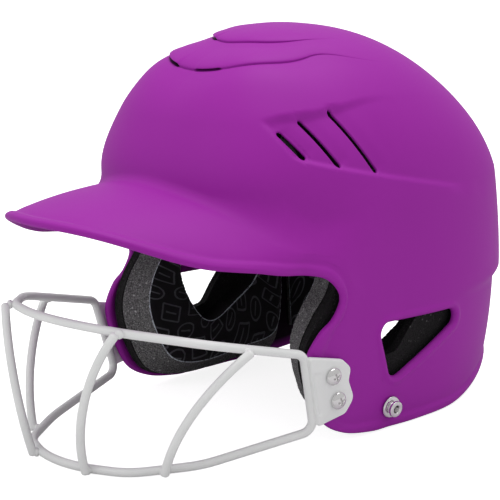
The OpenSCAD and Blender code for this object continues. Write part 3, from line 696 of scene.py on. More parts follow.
@dataclass
class HelmetForm:
    """The moulded form of the shell, worked out from the same named sizes as the part's source."""

    # Whole: length, height and width, the dome's reach from its centre, the wall
    overall_l: float = 322.0
    overall_h: float = 225.5
    shell_w: float = 194.0
    dome_front: float = 110.0
    dome_back: float = 128.0
    wall: float = 3.5
    # Bill: half width, height of its tip, fall to the sides, seam above, crown
    bill_half_w: float = 91.0
    bill_z: float = 140.0
    bill_droop: float = 40.0
    brow_z: float = 148.0
    bill_crown: float = 3.0
    # Face opening and jaw flap: distance ahead of the dome's centre, and height
    opening_fwd: float = 56.0
    temple_z: float = 100.0
    jaw_fwd: float = 80.0
    jaw_z: float = 58.0
    # Crown tiers: step, then reach and half width of the upper (a) and lower (b) edge
    tier_step: float = 3.0
    tier_a_front: float = 27.0
    tier_a_half_w: float = 39.0
    tier_a_shift: float = 22.0
    tier_b_front: float = 53.0
    tier_b_half_w: float = 46.0
    tier_b_back: float = 96.0
    # Nape: depth and top of its recess, rise of its lower edge towards the back
    nape_recess: float = 3.6
    nape_z: float = 71.0
    nape_rise: float = 16.0
    # Exponents of the plan and of the dome's rise, lean of the crown, millimetres a degree
    plan_n: float = 2.35
    flap_n: float = 6.0
    rise_front: float = 1.85
    rise_back: float = 2.4
    crown_lean: float = 22.0
    below: float = 1.9
    # Azimuths where the columns at the ends of bill and flap leave the dome
    top_bill: float = 57.0
    top_flap: float = 94.0
    # Swell ahead of the tiers, rise of the bill's side edges, seam's heights beside and behind
    shoulder: float = 3.5
    bill_edge: float = 4.2
    knee_side: float = 111.0
    knee_back: float = 100.0

    def __post_init__(self) -> None:
        """Works out the rim line and the shares of it that the bill and the flap take."""
        self.dome_y = self.overall_l / 2 - self.dome_back
        self.dome_top = self.overall_h - 2 * self.tier_step
        self.belt = np.array([[0, 130], [40, 146], [90, 108], [140, 112], [180, 95]], float)
        a = np.arange(0, 91, 7.5)
        back_y = self.dome_y - self.opening_fwd - 20
        bill = np.stack(
            [
                self.bill_half_w * sind(a),
                mix(back_y, -self.overall_l / 2, cosd(a)),
                self.bill_z - self.bill_droop * sind(a) ** 2.8 + self.bill_edge * hill(a, 74, 13),
            ],
            -1,
        )
        o, j = self.opening_fwd, self.jaw_fwd
        temple = [[o + 7, self.temple_z - 4], [o, self.temple_z - 15], [o + 6, self.temple_z - 26]]
        jaw = [[mix(o, j, 0.65), self.jaw_z + 9], [j, self.jaw_z - 4], [j - 2, self.jaw_z - 20]]
        outline = np.array(temple + jaw + [[j - 11, 16], [j - 27, 5.5], [j - 48, 1]])
        side = self.side_point(outline[:, 0], outline[:, 1])
        a0 = self.azimuth(side[-1])
        p = mix(a0, 180.0, np.append(np.arange(0.08, 0.97, 0.08), 1.0))
        bottom = self.body(p, self.nape_rise * smooth((p - 108) / 57) + 1 - smooth((p - a0) / 18))
        keys = np.vstack([flipped(bill[1:2]), bill, side, bottom, flipped(bottom[-2:-1])])
        steps = 20
        line = spline(keys, 1 + np.arange((len(keys) - 3) * steps + 1) / steps)
        run = np.concatenate([[0.0], np.cumsum(np.linalg.norm(np.diff(line, axis=0), axis=1))])
        self.rim_line, self.rim_run = line, run / run[-1]
        self.bill_run = self.rim_run[(len(bill) - 1) * steps]
        self.flap_run = self.rim_run[(len(bill) + len(side) - 1) * steps]

    def squareness(self, p: Array, z: Array) -> Array:
        """Exponent of the plan: the jaw flaps run straight forward, the dome is round."""
        ahead = mix(self.flap_n, self.plan_n, smooth((z - 70) / 60))
        return np.where(cosd(p) > 0, ahead, self.plan_n)

    def plan_r(self, p: Array, z: Array) -> Array:
        """Plan radius, a superellipse of half the width and the front or back length."""
        b = np.where(cosd(p) > 0, self.dome_front, self.dome_back)
        n = self.squareness(p, z)
        return ((np.abs(sind(p)) / (self.shell_w / 2)) ** n + (np.abs(cosd(p)) / b) ** n) ** (-1 / n)

    def belt_z(self, p: Array) -> Array:
        """Height of the widest line, S-blended between its keys by azimuth."""
        q = np.minimum(np.abs(p), 360 - np.abs(p))
        i = np.clip(np.searchsorted(self.belt[:, 0], q, side="right") - 1, 0, len(self.belt) - 2)
        a, b = self.belt[i], self.belt[i + 1]
        return mix(a[..., 1], b[..., 1], smooth((q - a[..., 0]) / (b[..., 0] - a[..., 0])))

    def rise(self, p: Array) -> Array:
        """Exponent of the dome in elevation, fuller at the back."""
        return mix(self.rise_front, self.rise_back, smooth((np.abs(p) - 40) / 60))

    def centre_y(self, p: Array, z: Array) -> Array:
        """The dome's centre, which leans forward with height."""
        zb = self.belt_z(p)
        return self.dome_y - self.crown_lean * smooth((z - zb) / (self.dome_top - zb))

    def share(self, p: Array, z: Array) -> Array:
        """Share of the full plan at a height: a superellipse above the belt, a slow taper below."""
        zb, n = self.belt_z(p), self.rise(p)
        high = np.clip((z - zb) / (self.dome_top - zb), 0, 1)
        low = np.maximum((zb - z) / zb, 0)
        taper = mix(0.08, 0.12, smooth((np.abs(p) - 90) / 80))
        nape = smooth((np.abs(p) - 105) / 40) * smooth((self.nape_z - z) / 7)
        below = 1 - taper * low**2.6 - self.nape_recess / 120 * nape
        return np.where(z >= zb, (1 - high**n) ** (1 / n), below)

    def at(self, p: Array, r: Array, z: Array) -> Array:
        """The point at azimuth p, plan radius r and height z."""
        p, r, z = np.broadcast_arrays(p, r, z)
        return np.stack([r * sind(p), self.centre_y(p, z) - r * cosd(p), z], -1)

    def body(self, p: Array, z: Array) -> Array:
        """The point of the plain form at azimuth p and height z."""
        p, z = np.broadcast_arrays(np.asarray(p, float), np.asarray(z, float))
        return self.at(p, self.plan_r(p, z) * self.share(p, z), z)

    def azimuth(self, v: Array) -> Array:
        """Azimuth of a point about the dome's axis."""
        return np.degrees(np.arctan2(v[..., 0], self.dome_y - v[..., 1]))

    def dome(self, p: Array, a: Array) -> Array:
        """The point at azimuth p and polar angle a: 0 at the crown, 90 at the belt."""
        p, a = np.broadcast_arrays(np.asarray(p, float), np.asarray(a, float))
        zb, n = self.belt_z(p), self.rise(p)
        z = zb + (self.dome_top - zb) * np.maximum(cosd(a), 0) ** (2 / n)
        upper = self.at(p, self.plan_r(p, z) * np.abs(sind(np.minimum(a, 90))) ** (2 / n), z)
        lower = self.body(p, zb - (np.maximum(a, 90) - 90) * self.below)
        return np.where((a > 90)[..., None], lower, upper)

    def pace(self, p: Array, a: Array) -> Array:
        """Length in millimetres of a degree of the polar angle."""
        return np.linalg.norm(self.dome(p, a + 1) - self.dome(p, a), axis=-1)

    def lifted(self, p: Array, a: Array, level: Array | float) -> Array:
        """Points of the dome raised to a level of the tiers."""
        points = self.dome(p, a)
        points[..., 2] += self.lift(p, level, a)
        return points

    def polar(self, p: Array, z: Array) -> Array:
        """Polar angle of the form at azimuth p and height z."""
        zb, n = self.belt_z(p), self.rise(p)
        high = np.clip((z - zb) / (self.dome_top - zb), 0, 1) ** (n / 2)
        return np.where(z < zb, 90 + (zb - z) / self.below, np.degrees(np.arccos(high)))

    def side_point(self, fwd: Array, z: Array) -> Array:
        """The left point a distance forward of the dome's centre and at height z."""
        p = np.degrees(np.arctan2(self.shell_w / 2 - 4, fwd))
        n, s = self.squareness(p, z), self.share(p, z)
        b = np.where(np.asarray(fwd) > 0, self.dome_front, self.dome_back)
        x = self.shell_w / 2 * s * np.maximum(1 - (np.abs(fwd) / b / s) ** n, 1e-6) ** (1 / n)
        return self.body(np.degrees(np.arctan2(x, fwd)), z)

    def facing(self, y: Array, z: Array) -> Array:
        """The left point whose y and z are given, found by halving the azimuth."""
        low, high = np.full(np.shape(y), 5.0), np.full(np.shape(y), 175.0)
        for _ in range(40):
            p = (low + high) / 2
            short = self.body(p, z)[..., 1] < y
            low, high = np.where(short, p, low), np.where(short, high, p)
        return self.body((low + high) / 2, z)

    def facing_normal(self, y: Array, z: Array) -> Array:
        """Outward normal at a left point, from central differences of half a millimetre."""
        dy = self.facing(y + 0.5, z) - self.facing(y - 0.5, z)
        dz = self.facing(y, z + 0.5) - self.facing(y, z - 0.5)
        return unit(np.cross(dy, dz))

    def normal(self, p: Array, z: Array) -> Array:
        """Outward normal of the plain form at azimuth p and height z."""
        up = self.body(p, z + 1) - self.body(p, z - 1)
        along = self.body(p - 1, z) - self.body(p + 1, z)
        return unit(np.cross(up, along))

    def sunk(self, p: Array, z: Array, depth: Array) -> Array:
        """A point below the outside of the plain form."""
        p, z, depth = np.broadcast_arrays(p, z, depth)
        return self.body(p, z) - depth[..., None] * self.normal(p, z)

    def side_sunk(self, fwd: Array, z: Array, depth: Array) -> Array:
        """A point below the left outside, a distance forward of the dome's centre."""
        return self.sunk(self.azimuth(self.side_point(fwd, z)), z, depth)

    def rim(self, t: Array) -> Array:
        """The point at share t of the rim, from the bill's tip to the nape."""
        return np.stack([np.interp(t, self.rim_run, self.rim_line[:, k]) for k in range(3)], -1)

    def top_az(self, t: Array) -> Array:
        """Azimuth at which the column of rim share t leaves the dome."""
        return np.interp(t, [0, self.bill_run, self.flap_run, 1], [0, self.top_bill, self.top_flap, 180])

    def knee_z(self, p: Array) -> Array:
        """Height of the seam between dome and bill, then of the line above the ears."""
        ahead = self.brow_z - (self.brow_z - self.knee_side) * (np.clip(p, 0, None) / self.top_bill) ** 1.9
        return np.where(
            p < self.top_bill, ahead, mix(self.knee_side, self.knee_back, smooth((p - self.top_bill) / 30))
        )

    def low_point(self, t: Array, w: Array) -> Array:
        """Point of the lower part of a column at share w between its seam and the rim."""
        t, w = np.broadcast_arrays(t, w)
        p, e = self.top_az(t), self.rim(t)
        zk = self.knee_z(p)
        on_bill = 1 - smooth((t - self.bill_run + 0.03) / 0.06)
        flat = mix(self.body(p, zk), e, w[..., None])
        flat[..., 2] += self.bill_crown * 4 * w * (1 - w)
        turn = smooth((t - self.bill_run) / 0.04) * (1 - smooth((t - self.flap_run + 0.1) / 0.1))
        q = mix(p, self.azimuth(e), np.clip(w, 0, None) ** mix(1.3, 2.2, turn))
        z = mix(zk, e[..., 2], mix(w, 1 - np.clip(1 - w, 0, None) ** 1.8, turn))
        return mix(self.body(q, z), flat, on_bill[..., None])

    def edge_angle(self, p: Array, r: Array) -> Array:
        """Polar angle at which the dome's plan radius is r."""
        share = np.minimum(0.95, r / self.plan_r(p, self.dome_top))
        return np.degrees(np.arcsin(share ** (self.rise(p) / 2)))

    def edge_a(self, p: Array) -> Array:
        """Polar angle of the upper tier's edge, an ellipse set back from the crown."""
        h = self.tier_a_front + self.tier_a_shift
        k = (sind(p) / self.tier_a_half_w) ** 2 + (cosd(p) / h) ** 2
        m, n = self.tier_a_shift * cosd(p) / h**2, 1 - (self.tier_a_shift / h) ** 2
        return self.edge_angle(p, (np.sqrt(m * m + k * n) - m) / k)

    def edge_b(self, p: Array) -> Array:
        """Polar angle of the lower tier's edge, a fuller curve round the upper one."""
        reach = np.where(cosd(p) > 0, self.tier_b_front, self.tier_b_back)
        r = ((np.abs(sind(p)) / self.tier_b_half_w) ** 2.7 + (np.abs(cosd(p)) / reach) ** 2.7) ** (-1 / 2.7)
        return self.edge_angle(p, r + 16 * smooth((p - 82) / 45))

    def fade(self, p: Array) -> Array:
        """1 where the tiers stand out in front, 0 at the back."""
        return 1 - smooth((p - 70) / 60)

    def lift(self, p: Array, level: Array, a: Array) -> Array:
        """Height that the tiers add: a step at each edge in front, a soft rise at the back.

        In front of the lower tier the dome has a shoulder, a Gaussian swell in both angles.
        """
        swell = hill(p, 46, 24) * hill(a, 37, 11)
        return self.tier_step * mix(2 * (1 - smooth(a / 62)), level, self.fade(p)) + self.shoulder * swell


# Side in profile: y and z of the scoop's upper and lower creases, and how deep it is along each
SCOOP_UPPER = np.array(
    [[-47, -34.8, -15.7, 2.3, 18.7, 36.5, 70, 120], [184.7, 186.6, 186.8, 188.1, 189.6, 189.4, 186, 172]]
).T
SCOOP_LOWER = np.array(
    [[-47, -43, -37.7, -19.1, 10.7, 58.3, 97.8, 135], [184.7, 173.6, 162.1, 155.7, 147.1, 134.2, 123.1, 114]]
).T
UPPER_DEPTH = ([-47, -36, -10, 8, 24, 40], [0.9, 2.9, 2.8, 1.7, 0.6, 0.0])
LOWER_DEPTH = ([-47, -38, -10, 20, 55, 95, 125], [0.9, 2.9, 2.8, 2.3, 1.7, 1.0, 0.0])
# Half width of the crown, which the scoop leaves out, and the height that it stays above
SCOOP_X, SCOOP_Z = 35.0, 105.0
# Openings in profile: each slot's ends and width, the ear window's corners and their radii
SLOTS = np.array(
    [[[-39.6, 176.8], [-31.8, 163.6]], [[-25.8, 182], [-12.2, 157]], [[-6.2, 184.8], [11.6, 150.8]]]
)
SLOT_W = 3.2
WINDOW = np.array([[5.0, 64.0], [83.0, 60.0], [15.0, 28.0]])
WINDOW_R = np.array([6.0, 5.0, 6.0])


def scoop_depth(y: Array, z: Array) -> Array:
    """Depth of the side scoop and its louvres.

    Between the two creases the surface sinks along each by its own depth, over 5 mm, and the
    depth in the middle is their blend. Behind each slot the surface is a little lower and
    comes back over 9 mm.

    Args:
        y: Places along the helmet.
        z: Their heights.

    Returns:
        Depth in millimetres below the plain form.
    """
    upper, lower = distance_to(SCOOP_UPPER, y, z), distance_to(SCOOP_LOWER, y, z)
    inside = (z < np.interp(y, *SCOOP_UPPER.T)) & (z > np.interp(y, *SCOOP_LOWER.T))
    inside &= y > SCOOP_UPPER[0, 0]
    share = lower / np.maximum(upper + lower, 1e-6)
    deep = mix(np.interp(y, *LOWER_DEPTH), np.interp(y, *UPPER_DEPTH), share)
    depth = deep * smooth(upper / 4.2) * smooth(lower / 3.4)
    for a, b in SLOTS:
        along = (b - a) / np.linalg.norm(b - a)
        q = np.stack([y, z], -1) - a
        run = q @ along / np.linalg.norm(b - a)
        aft = q @ np.array([-along[1], along[0]])
        ends = smooth((run + 0.12) / 0.15) * smooth((1.12 - run) / 0.15)
        depth = depth + 0.9 * ends * smooth((aft + 0.4) / 1.6) * (1 - smooth((aft - 1.4) / 9.0))
    return np.where(inside, depth, 0.0)


def side_scoop(points: Array) -> Array:
    """Depth of the scoop at points of the form, 0 on the crown, in front and low down."""
    beside = (np.abs(points[..., 0]) > SCOOP_X) & (points[..., 2] > SCOOP_Z)
    return np.where(beside, scoop_depth(points[..., 1], points[..., 2]), 0.0)


@dataclass
class Hole:
    """An opening through the side, and its collar's profile: distance out from it, and height."""

    outline: Array
    profile: Array

    def inside(self, y: Array, z: Array, margin: float) -> Array:
        """Whether places lie inside the outline or nearer to it than margin."""
        loop = np.vstack([self.outline, self.outline[:1]])
        a, b = loop[:-1], loop[1:]
        crosses = (a[:, 1] > z[..., None]) != (b[:, 1] > z[..., None])
        rise = np.where(a[:, 1] == b[:, 1], 1e-9, b[:, 1] - a[:, 1])
        hit = y[..., None] < a[:, 0] + (z[..., None] - a[:, 1]) / rise * (b[:, 0] - a[:, 0])
        return (np.sum(crosses & hit, -1) % 2 == 1) | (distance_to(loop, y, z) < margin)


@dataclass
class Shell:
    """The moulded shell: outside with tiers, vents and scoops, rolled rim and inside."""

    form: HelmetForm
    finishes: Finishes
    # Columns of a half, and rows of the sections that a column runs through
    columns: int = 168
    crown_rows: int = 20
    tier_rows: int = 10
    dome_rows: int = 78
    fillet_rows: int = 14
    low_rows: int = 40
    inner_rows: int = 34
    # Fillet between dome and bill, in front and at its end, and degrees of dome to a millimetre
    fillet_front: float = 8.0
    fillet_side: float = 26.0
    fillet_turn: float = 57.3 / 115
    # Swell of the brow, height of the rolled lip, wall left behind a scoop, darkness of the inside
    brow_swell: float = 4.9
    lip_h: float = 1.1
    thinned: float = 1.5
    inside_dark: float = 0.96
    # Distance from the middle that the side's openings stay outside of
    openings_x: float = 40.0

    # Rows over a tier's edge: distance from it, share of the step fallen, overhang, darkness, which is
    # painted shade in the crease at the foot
    TIER = np.array(
        [
            [
                -14, -11, -8.5, -6, -4, -2.6, -1.5, -0.8, -0.4, -0.2, -0.1, 0, 0.1, 0.25, 0.5, 0.9, 1.6,
                2.6, 4, 6.5, 9.5,
            ],
            [
                0, 0.03, 0.08, 0.17, 0.29, 0.4, 0.53, 0.65, 0.75, 0.84, 0.91, 0.97, 1.02, 1.05, 1.03, 0.99,
                0.95, 0.93, 0.94, 0.98, 1,
            ],
            [0, 0.2, 0.4, 0.6, 0.7, 0.8, 0.8, 0.7, 0.6, 0.4, 0.2, 0.1, 0, 0, 0, 0, 0, 0, 0, 0, 0],
            [0, 0, 0, 0, 0, 0, 0, 0, 0, 0, 0, 0, 0.25, 0.35, 0.1, 0, 0, 0, 0, 0, 0],
        ]
    ).T
    # The same where the foot opens as a vent: a lip, the hollow under it, its floor; the darkness paints the
    # hollow's shade near black
    MOUTH = np.array(
        [
            [
                -14, -11, -8.5, -6, -4, -2.6, -1.5, -0.8, -0.3, -0.2, -1, -4, -5, -4.2, -1.5, 0.4, 1.2,
                2.6, 4, 6.5, 9.5,
            ],
            [
                0, 0.02, 0.05, 0.09, 0.14, 0.2, 0.27, 0.34, 0.42, 0.52, 0.58, 0.62, 0.95, 1.35, 1.4, 1.18,
                1, 0.93, 0.92, 0.97, 1,
            ],
            [0, 0.2, 0.4, 0.6, 0.7, 0.8, 0.8, 0.8, 0.8, 0.6, 0.2, 0, 0, 0, 0, 0, 0, 0, 0, 0, 0],
            [0, 0, 0, 0, 0, 0, 0, 0, 0, 0.5, 1, 1, 1, 1, 1, 0.7, 0, 0, 0, 0, 0],
        ]
    ).T
    # Vents of the upper and lower tier: first and last distance from the middle, and opening
    VENTS = {Side.LEFT: ((0, 0, 0.0), (2, 19, 0.45)), Side.RIGHT: ((13, 27, 1.0), (16, 36, 1.0))}
    # Distance from the rim and height of the rolled lip
    LIP = np.array(
        [[14, 11, 9, 7.7, 6.7, 5.9, 5.1, 4.2, 3.2], [0, 0, -0.1, -0.2, -0.05, 0.35, 0.8, 1.04, 1.12]]
    ).T

    def tier_wall(
        self, p: Array, edge: Array, level: float, vent_at: tuple, runs: Array
    ) -> tuple[Array, Array]:
        """Rows over one tier's edge.

        Each row lies at a distance from the edge along the dome and has fallen by a share of
        the step. It leans out over the foot, and where the vent is it follows the other table.
        Towards the back the rows draw apart, so that the crease softens into a ridge.

        Args:
            p: Azimuth of each column.
            edge: Polar angle of the edge in each column.
            level: Tiers above the dome before the edge.
            vent_at: First and last distance of the vent from the middle, and how open it is.
            runs: Distance of each row from the edge in each column.

        Returns:
            The rows' points and their darkness, which is painted shade in the vent's hollow and at the
            crease.
        """
        form = self.form
        across = np.abs(form.dome(p, edge)[..., 0])
        low, high, wide = vent_at
        vent = wide * smooth((across - low + 2) / 2.5) * (1 - smooth((across - high) / 2.5)) * form.fade(p)
        run, fall, lean, dark = (mix(self.TIER[:, k], self.MOUTH[:, k], vent) for k in range(4))
        soft = smooth((p - 50) / 50)
        a = edge + np.where(vent > 0.01, run, runs) / form.pace(p, edge)
        eased = smooth((run + 14) / 23.5)
        points = form.lifted(p, a, level - mix(fall, eased, 0.8 * soft))
        out = lean * form.fade(p)
        points[..., 0] += out * sind(p)
        points[..., 1] -= out * cosd(p)
        # The darkness is painted shade, and fades out towards the back.
        return points, dark * (1 - soft)

    def fuller_brow(self, points: Array, p: Array, knee: Array) -> Array:
        """Points pushed out where the forehead swells just above the bill.

        With S the smooth step, r the distance out past the knee and s the most that it adds:
        push(p, z, r) = s * (1 - S((|p| - 32) / 30)) * S((182 - z) / 34) * (1 - S(r / 26)).

        Args:
            points: Outer points, column by column.
            p: Azimuth of each column.
            knee: Point of each column where the dome meets the bill.

        Returns:
            The points, moved straight out from the dome's axis.
        """
        axis = np.array([0.0, self.form.dome_y])
        reach, knee_reach = (np.linalg.norm(at[..., :2] - axis, axis=-1) for at in (points, knee))
        share = (1 - smooth((np.abs(p) - 32) / 30)) * smooth((182 - points[..., 2]) / 34)
        share = share * (1 - smooth((reach - knee_reach) / 26))
        moved = points.copy()
        moved[..., 0] += self.brow_swell * share * sind(p)
        moved[..., 1] -= self.brow_swell * share * cosd(p)
        return moved

    def columns_half(self, side: Side) -> tuple[Array, Array, Array, Array]:
        """One half, on the left, as columns from the crown over the rim and back up inside.

        Args:
            side: The side whose vents it gets.

        Returns:
            Outer points before the lip and scoop, their painted shade, inner points, rim arcs.
        """
        form = self.form
        t = np.linspace(0, 1, self.columns + 1)[:, None]
        p = form.top_az(t)
        zk, e = form.knee_z(p), form.rim(t[:, 0])[:, None, :]
        k = form.body(p, zk)
        length = np.linalg.norm(e - k, axis=-1)
        fillet = mix(self.fillet_front, self.fillet_side, np.clip(t / form.bill_run, 0, 1) ** 3)
        cut = np.minimum(fillet, length * 0.45)
        aa, wb = form.polar(p, zk) - cut * self.fillet_turn, cut / length
        ea, eb = form.edge_a(p), form.edge_b(p)
        pace_a, pace_b = form.pace(p, ea), form.pace(p, eb)
        gap = (eb - ea) * pace_b
        run = self.TIER[:, 0]
        runs_a = run * np.where(run > 0, np.minimum(1, 0.4 * gap / run[-1]), 1)
        runs_b = run * np.where(run < 0, np.minimum(1, -0.58 * gap / run[0]), 1)
        end_a, start_b = ea + runs_a[:, -1:] / pace_a, eb + runs_b[:, :1] / pace_b

        def rows(low: Array, high: Array, count: int, level: float) -> Array:
            """Rows of the dome between two polar angles, without the last."""
            f = np.linspace(0, 1, count, endpoint=False)[None, :]
            return form.lifted(p, mix(low, high, f), level)

        wall_a, painted_shade_a = self.tier_wall(p, ea, 2.0, self.VENTS[side][0], runs_a)
        wall_b, painted_shade_b = self.tier_wall(p, eb, 1.0, self.VENTS[side][1], runs_b)
        f = np.linspace(0, 1, self.fillet_rows + 1)[None, 1:, None]
        start, end = form.dome(p, aa), form.low_point(t, wb)

        def turned(g: Array) -> Array:
            """Point of the fillet: a parabola from start to end with its control at k."""
            return mix(mix(start, k, g), mix(k, end, g), g)

        w = mix(wb, 1 - self.LIP[0, 0] / length, np.linspace(0, 1, self.low_rows)[None, 1:])
        sections = [
            rows(np.zeros_like(ea), ea + run[0] / pace_a, self.crown_rows, 2.0),
            wall_a,
            rows(end_a, start_b, self.tier_rows, 1.0)[:, 1:],
            wall_b,
            rows(eb + run[-1] / pace_b, aa, self.dome_rows, 0.0)[:, 1:],
            turned(f),
            form.low_point(t, w),
            form.low_point(t, 1 - self.LIP[None, 1:, 0] / length),
        ]
        outer = self.fuller_brow(np.concatenate(sections, 1), p, k)
        marks = [np.zeros(section.shape[:2]) for section in sections]
        # Painted shade of the tiers' creases and vents.
        marks[1], marks[3] = painted_shade_a, painted_shade_b
        dark = np.concatenate(marks, 1)
        n_low = self.inner_rows // 2
        w_in = np.linspace(1, 0, n_low)[None, :] * (1 - self.edge_r() / length - wb) + wb
        a_in = mix(aa, 0.0, np.linspace(0, 1, self.inner_rows)[None, 1:])
        step_a, step_b = smooth((a_in - ea + 8) / 6), smooth((a_in - eb + 8) / 6)
        dome_in = form.lifted(p, a_in, 2 - step_a - step_b)
        inner = np.concatenate([form.low_point(t, w_in), turned(f[:, ::-3]), dome_in], 1)
        edge = np.concatenate([form.low_point(t, 1 - 1.5 / length), e], 1)
        return outer, dark, inner, edge

    def edge_r(self) -> float:
        """Radius of the rolled rim: half of the wall and lip together."""
        return (self.form.wall + self.lip_h) / 2

    @staticmethod
    def grid_normals(points: Array) -> Array:
        """Outward normals of a half grid, from its neighbours, mirrored across x = 0."""
        wide = np.concatenate([flipped(points[1:2]), points, flipped(points[-2:-1])])
        across = wide[2:] - wide[:-2]
        down = np.gradient(points, axis=1)
        normal = unit(np.cross(down, across))
        normal[:, 0] = [0, 0, 1]
        return normal

    def holes(self) -> list[Hole]:
        """The ear window and the three slots, each with its collar's profile."""
        wall = self.form.wall
        frame_profile = np.array(
            [
                [6.0, 0.0], [5.1, 0.08], [4.3, 0.32], [3.6, 0.60], [2.9, 0.74], [2.2, 0.70], [1.6, 0.46],
                [1.05, 0.0], [0.6, -0.6], [0.2, -1.3], [0.0, -2.0], [0.0, -wall + 0.5], [0.25, -wall + 0.12],
                [0.9, -wall], [3.0, -wall],
            ]
        )
        slot_profile = np.array(
            [
                [1.7, 0.0], [1.2, 0.03], [0.8, 0.04], [0.45, -0.02], [0.15, -0.2], [0.0, -0.5],
                [0.0, -1.2], [0.0, -wall + 0.4], [0.3, -wall], [1.7, -wall],
            ]
        )
        found = [Hole(evenly(rounded(WINDOW, WINDOW_R, 12), 150), frame_profile)]
        for a, b in SLOTS:
            along = unit(b - a)
            aside = np.array([-along[1], along[0]])
            arc = np.linspace(-90, 90, 12)
            ends = [
                c + SLOT_W / 2 * (s * np.outer(cosd(arc), along) + s * np.outer(sind(arc), aside))
                for c, s in ((b, 1.0), (a, -1.0))
            ]
            found.append(Hole(evenly(np.vstack(ends), 60), slot_profile))
        return found

    def collar(self, hole: Hole) -> Array:
        """The collar of a hole: its profile carried round the outline on the curved side."""
        d, h = hole.profile.T
        wall = self.form.wall
        q = hole.outline[:, None, :] + d[None, :, None] * outward(hole.outline)[:, None, :]
        base = self.form.facing(q[..., 0], q[..., 1])
        normal = self.form.facing_normal(q[..., 0], q[..., 1])
        sunk = scoop_depth(q[..., 0], q[..., 1])
        through = np.clip((-0.5 - h) / (wall - 0.5), 0, 1)
        height = np.where(h > -0.5, h - sunk, mix(-0.5 - sunk, -self.inner_depth(sunk), through))
        return base + height[..., None] * normal

    def inner_depth(self, sunk: Array) -> Array:
        """Depth of the inside: a full wall, or the thinned wall that is left behind a scoop."""
        return np.maximum(sunk + self.thinned, self.form.wall)

    def half(self, side: Side) -> tuple[Array, Array]:
        """The finished columns of one half, drawn on the left, and their darkness: painted shade in the
        tiers' vents and creases outside, and the dark inside.
        """
        outer, dark, inner, edge = self.columns_half(side)
        n_out, n_in = self.grid_normals(outer), self.grid_normals(inner[:, ::-1])[:, ::-1]
        rim_n = n_out[:, -1]
        rim_t = unit(edge[:, 1] - edge[:, 0])
        rim_n = unit(rim_n - np.sum(rim_n * rim_t, -1, keepdims=True) * rim_t)
        high = np.zeros(outer.shape[1])
        high[-len(self.LIP) :] = self.LIP[:, 1]
        outer = outer + (high[None, :] - side_scoop(outer))[..., None] * n_out
        r = self.edge_r()
        centre = edge[:, 1] - r * rim_t + (self.lip_h - r) * rim_n
        a = np.linspace(0, 180, 13)
        arc = centre[:, None] + r * (cosd(a)[:, None] * rim_n[:, None] + sind(a)[:, None] * rim_t[:, None])
        inside = (inner - self.inner_depth(side_scoop(inner))[..., None] * n_in)[:, 1:]
        self.outer_count = outer.shape[1] + arc.shape[1] // 2
        columns = np.concatenate([outer, arc, inside], 1)
        mark = np.zeros(columns.shape[:2])
        # Outside, painted shade in the tiers' vents and creases; inside, the dark of the shell.
        mark[:, : dark.shape[1]] = dark
        front, floor = self.form.dome_y - self.form.dome_front + 8, 95.0
        under_bill = (inner[:, 1:, 1] < front) & (inner[:, 1:, 2] > floor)
        mark[:, -inside.shape[1] :] = np.where(under_bill, 0.0, self.inside_dark)
        return columns, mark

    def build(self) -> Piece:
        """Builds the shell as one closed piece."""
        half, mark = self.half(Side.LEFT)
        other, other_mark = self.half(Side.RIGHT)
        full = np.concatenate([half, flipped(other[-2:0:-1])])
        mark = np.concatenate([mark, other_mark[-2:0:-1]])
        skin = np.where(np.arange(full.shape[1]) < self.outer_count, 1, 2)
        holes = self.holes()
        draft = Draft()
        keep = np.ones((len(full), full.shape[1] - 1), bool)
        for hole in holes:
            near = hole.inside(full[..., 1], full[..., 2], hole.profile[0, 0] + 0.4)
            near &= np.abs(full[..., 0]) > self.openings_x
            wrapped = np.vstack([near, near[:1]])
            keep &= ~(wrapped[:-1, :-1] | wrapped[1:, :-1] | wrapped[1:, 1:] | wrapped[:-1, 1:])
        draft.grid(full, around=True, mark=mark, ring=skin, keep=keep)
        for hole in holes:
            collar = self.collar(hole)
            skin = np.where(hole.profile[:, 1] > -self.form.wall / 2, 1, 2)
            for points in (collar, flipped(collar)):
                draft.grid(points, around=True, ring=skin)
        loops = [np.vstack([hole.outline, hole.outline[:1]]) for hole in holes]

        def pick(middle: Array, skins: Array) -> Array:
            """Number of the opening that an edge is nearest to, and of its side and skin."""
            reach = np.stack([distance_to(loop, middle[:, 1], middle[:, 2]) for loop in loops])
            return 4 * np.argmin(reach, 0) + 2 * (middle[:, 0] > 0) + skins - 1

        return draft.build("shell_moulding", [self.finishes.shell], 50.0, pick)


def dress(piece: Piece, slot: str, *nodes: str) -> Piece:
    """Rides a piece on the body and hides the nodes that it stands for."""
    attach(piece, BODY)
    if nodes:
        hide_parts(*nodes)
    LOG.info("%s: %d faces", piece.name, len(piece.data.polygons))
    return piece


def bend(a: Array, b: Array, c: Array, radius: float) -> Array:
    """Arc of a bent wire.

    The arc is tangent to the legs a-b and b-c, so its centre lies on their bisector at the
    radius over the sine of half their angle, and it turns by what is left of a half turn.

    Args:
        a: Start of the first leg.
        b: Corner where the legs meet.
        c: End of the second leg.
        radius: Radius of the bend.

    Returns:
        Points about every four degrees.
    """
    u, v = unit(a - b), unit(c - b)
    half = math.acos(float(u @ v)) / 2
    centre = b + unit(u + v) * radius / math.sin(half)
    x = unit(b + u * radius / math.tan(half) - centre)
    e = unit(b + v * radius / math.tan(half) - centre)
    y = unit(e - (e @ x) * x)
    q = np.linspace(0, math.pi - 2 * half, max(4, round((180 - math.degrees(2 * half)) / 4) + 1))
    return centre + radius * (np.outer(np.cos(q), x) + np.outer(np.sin(q), y))


def lathe(profile: Array, sides: int) -> Array:
    """A profile of radius and height turned about +X: one row for each angle."""
    q = np.linspace(0, 2 * math.pi, sides, endpoint=False)[:, None]
    r, x = profile.T[:, None, :]
    return np.stack([np.broadcast_to(x, (sides, x.shape[1])), r * np.cos(q), r * np.sin(q)], -1)


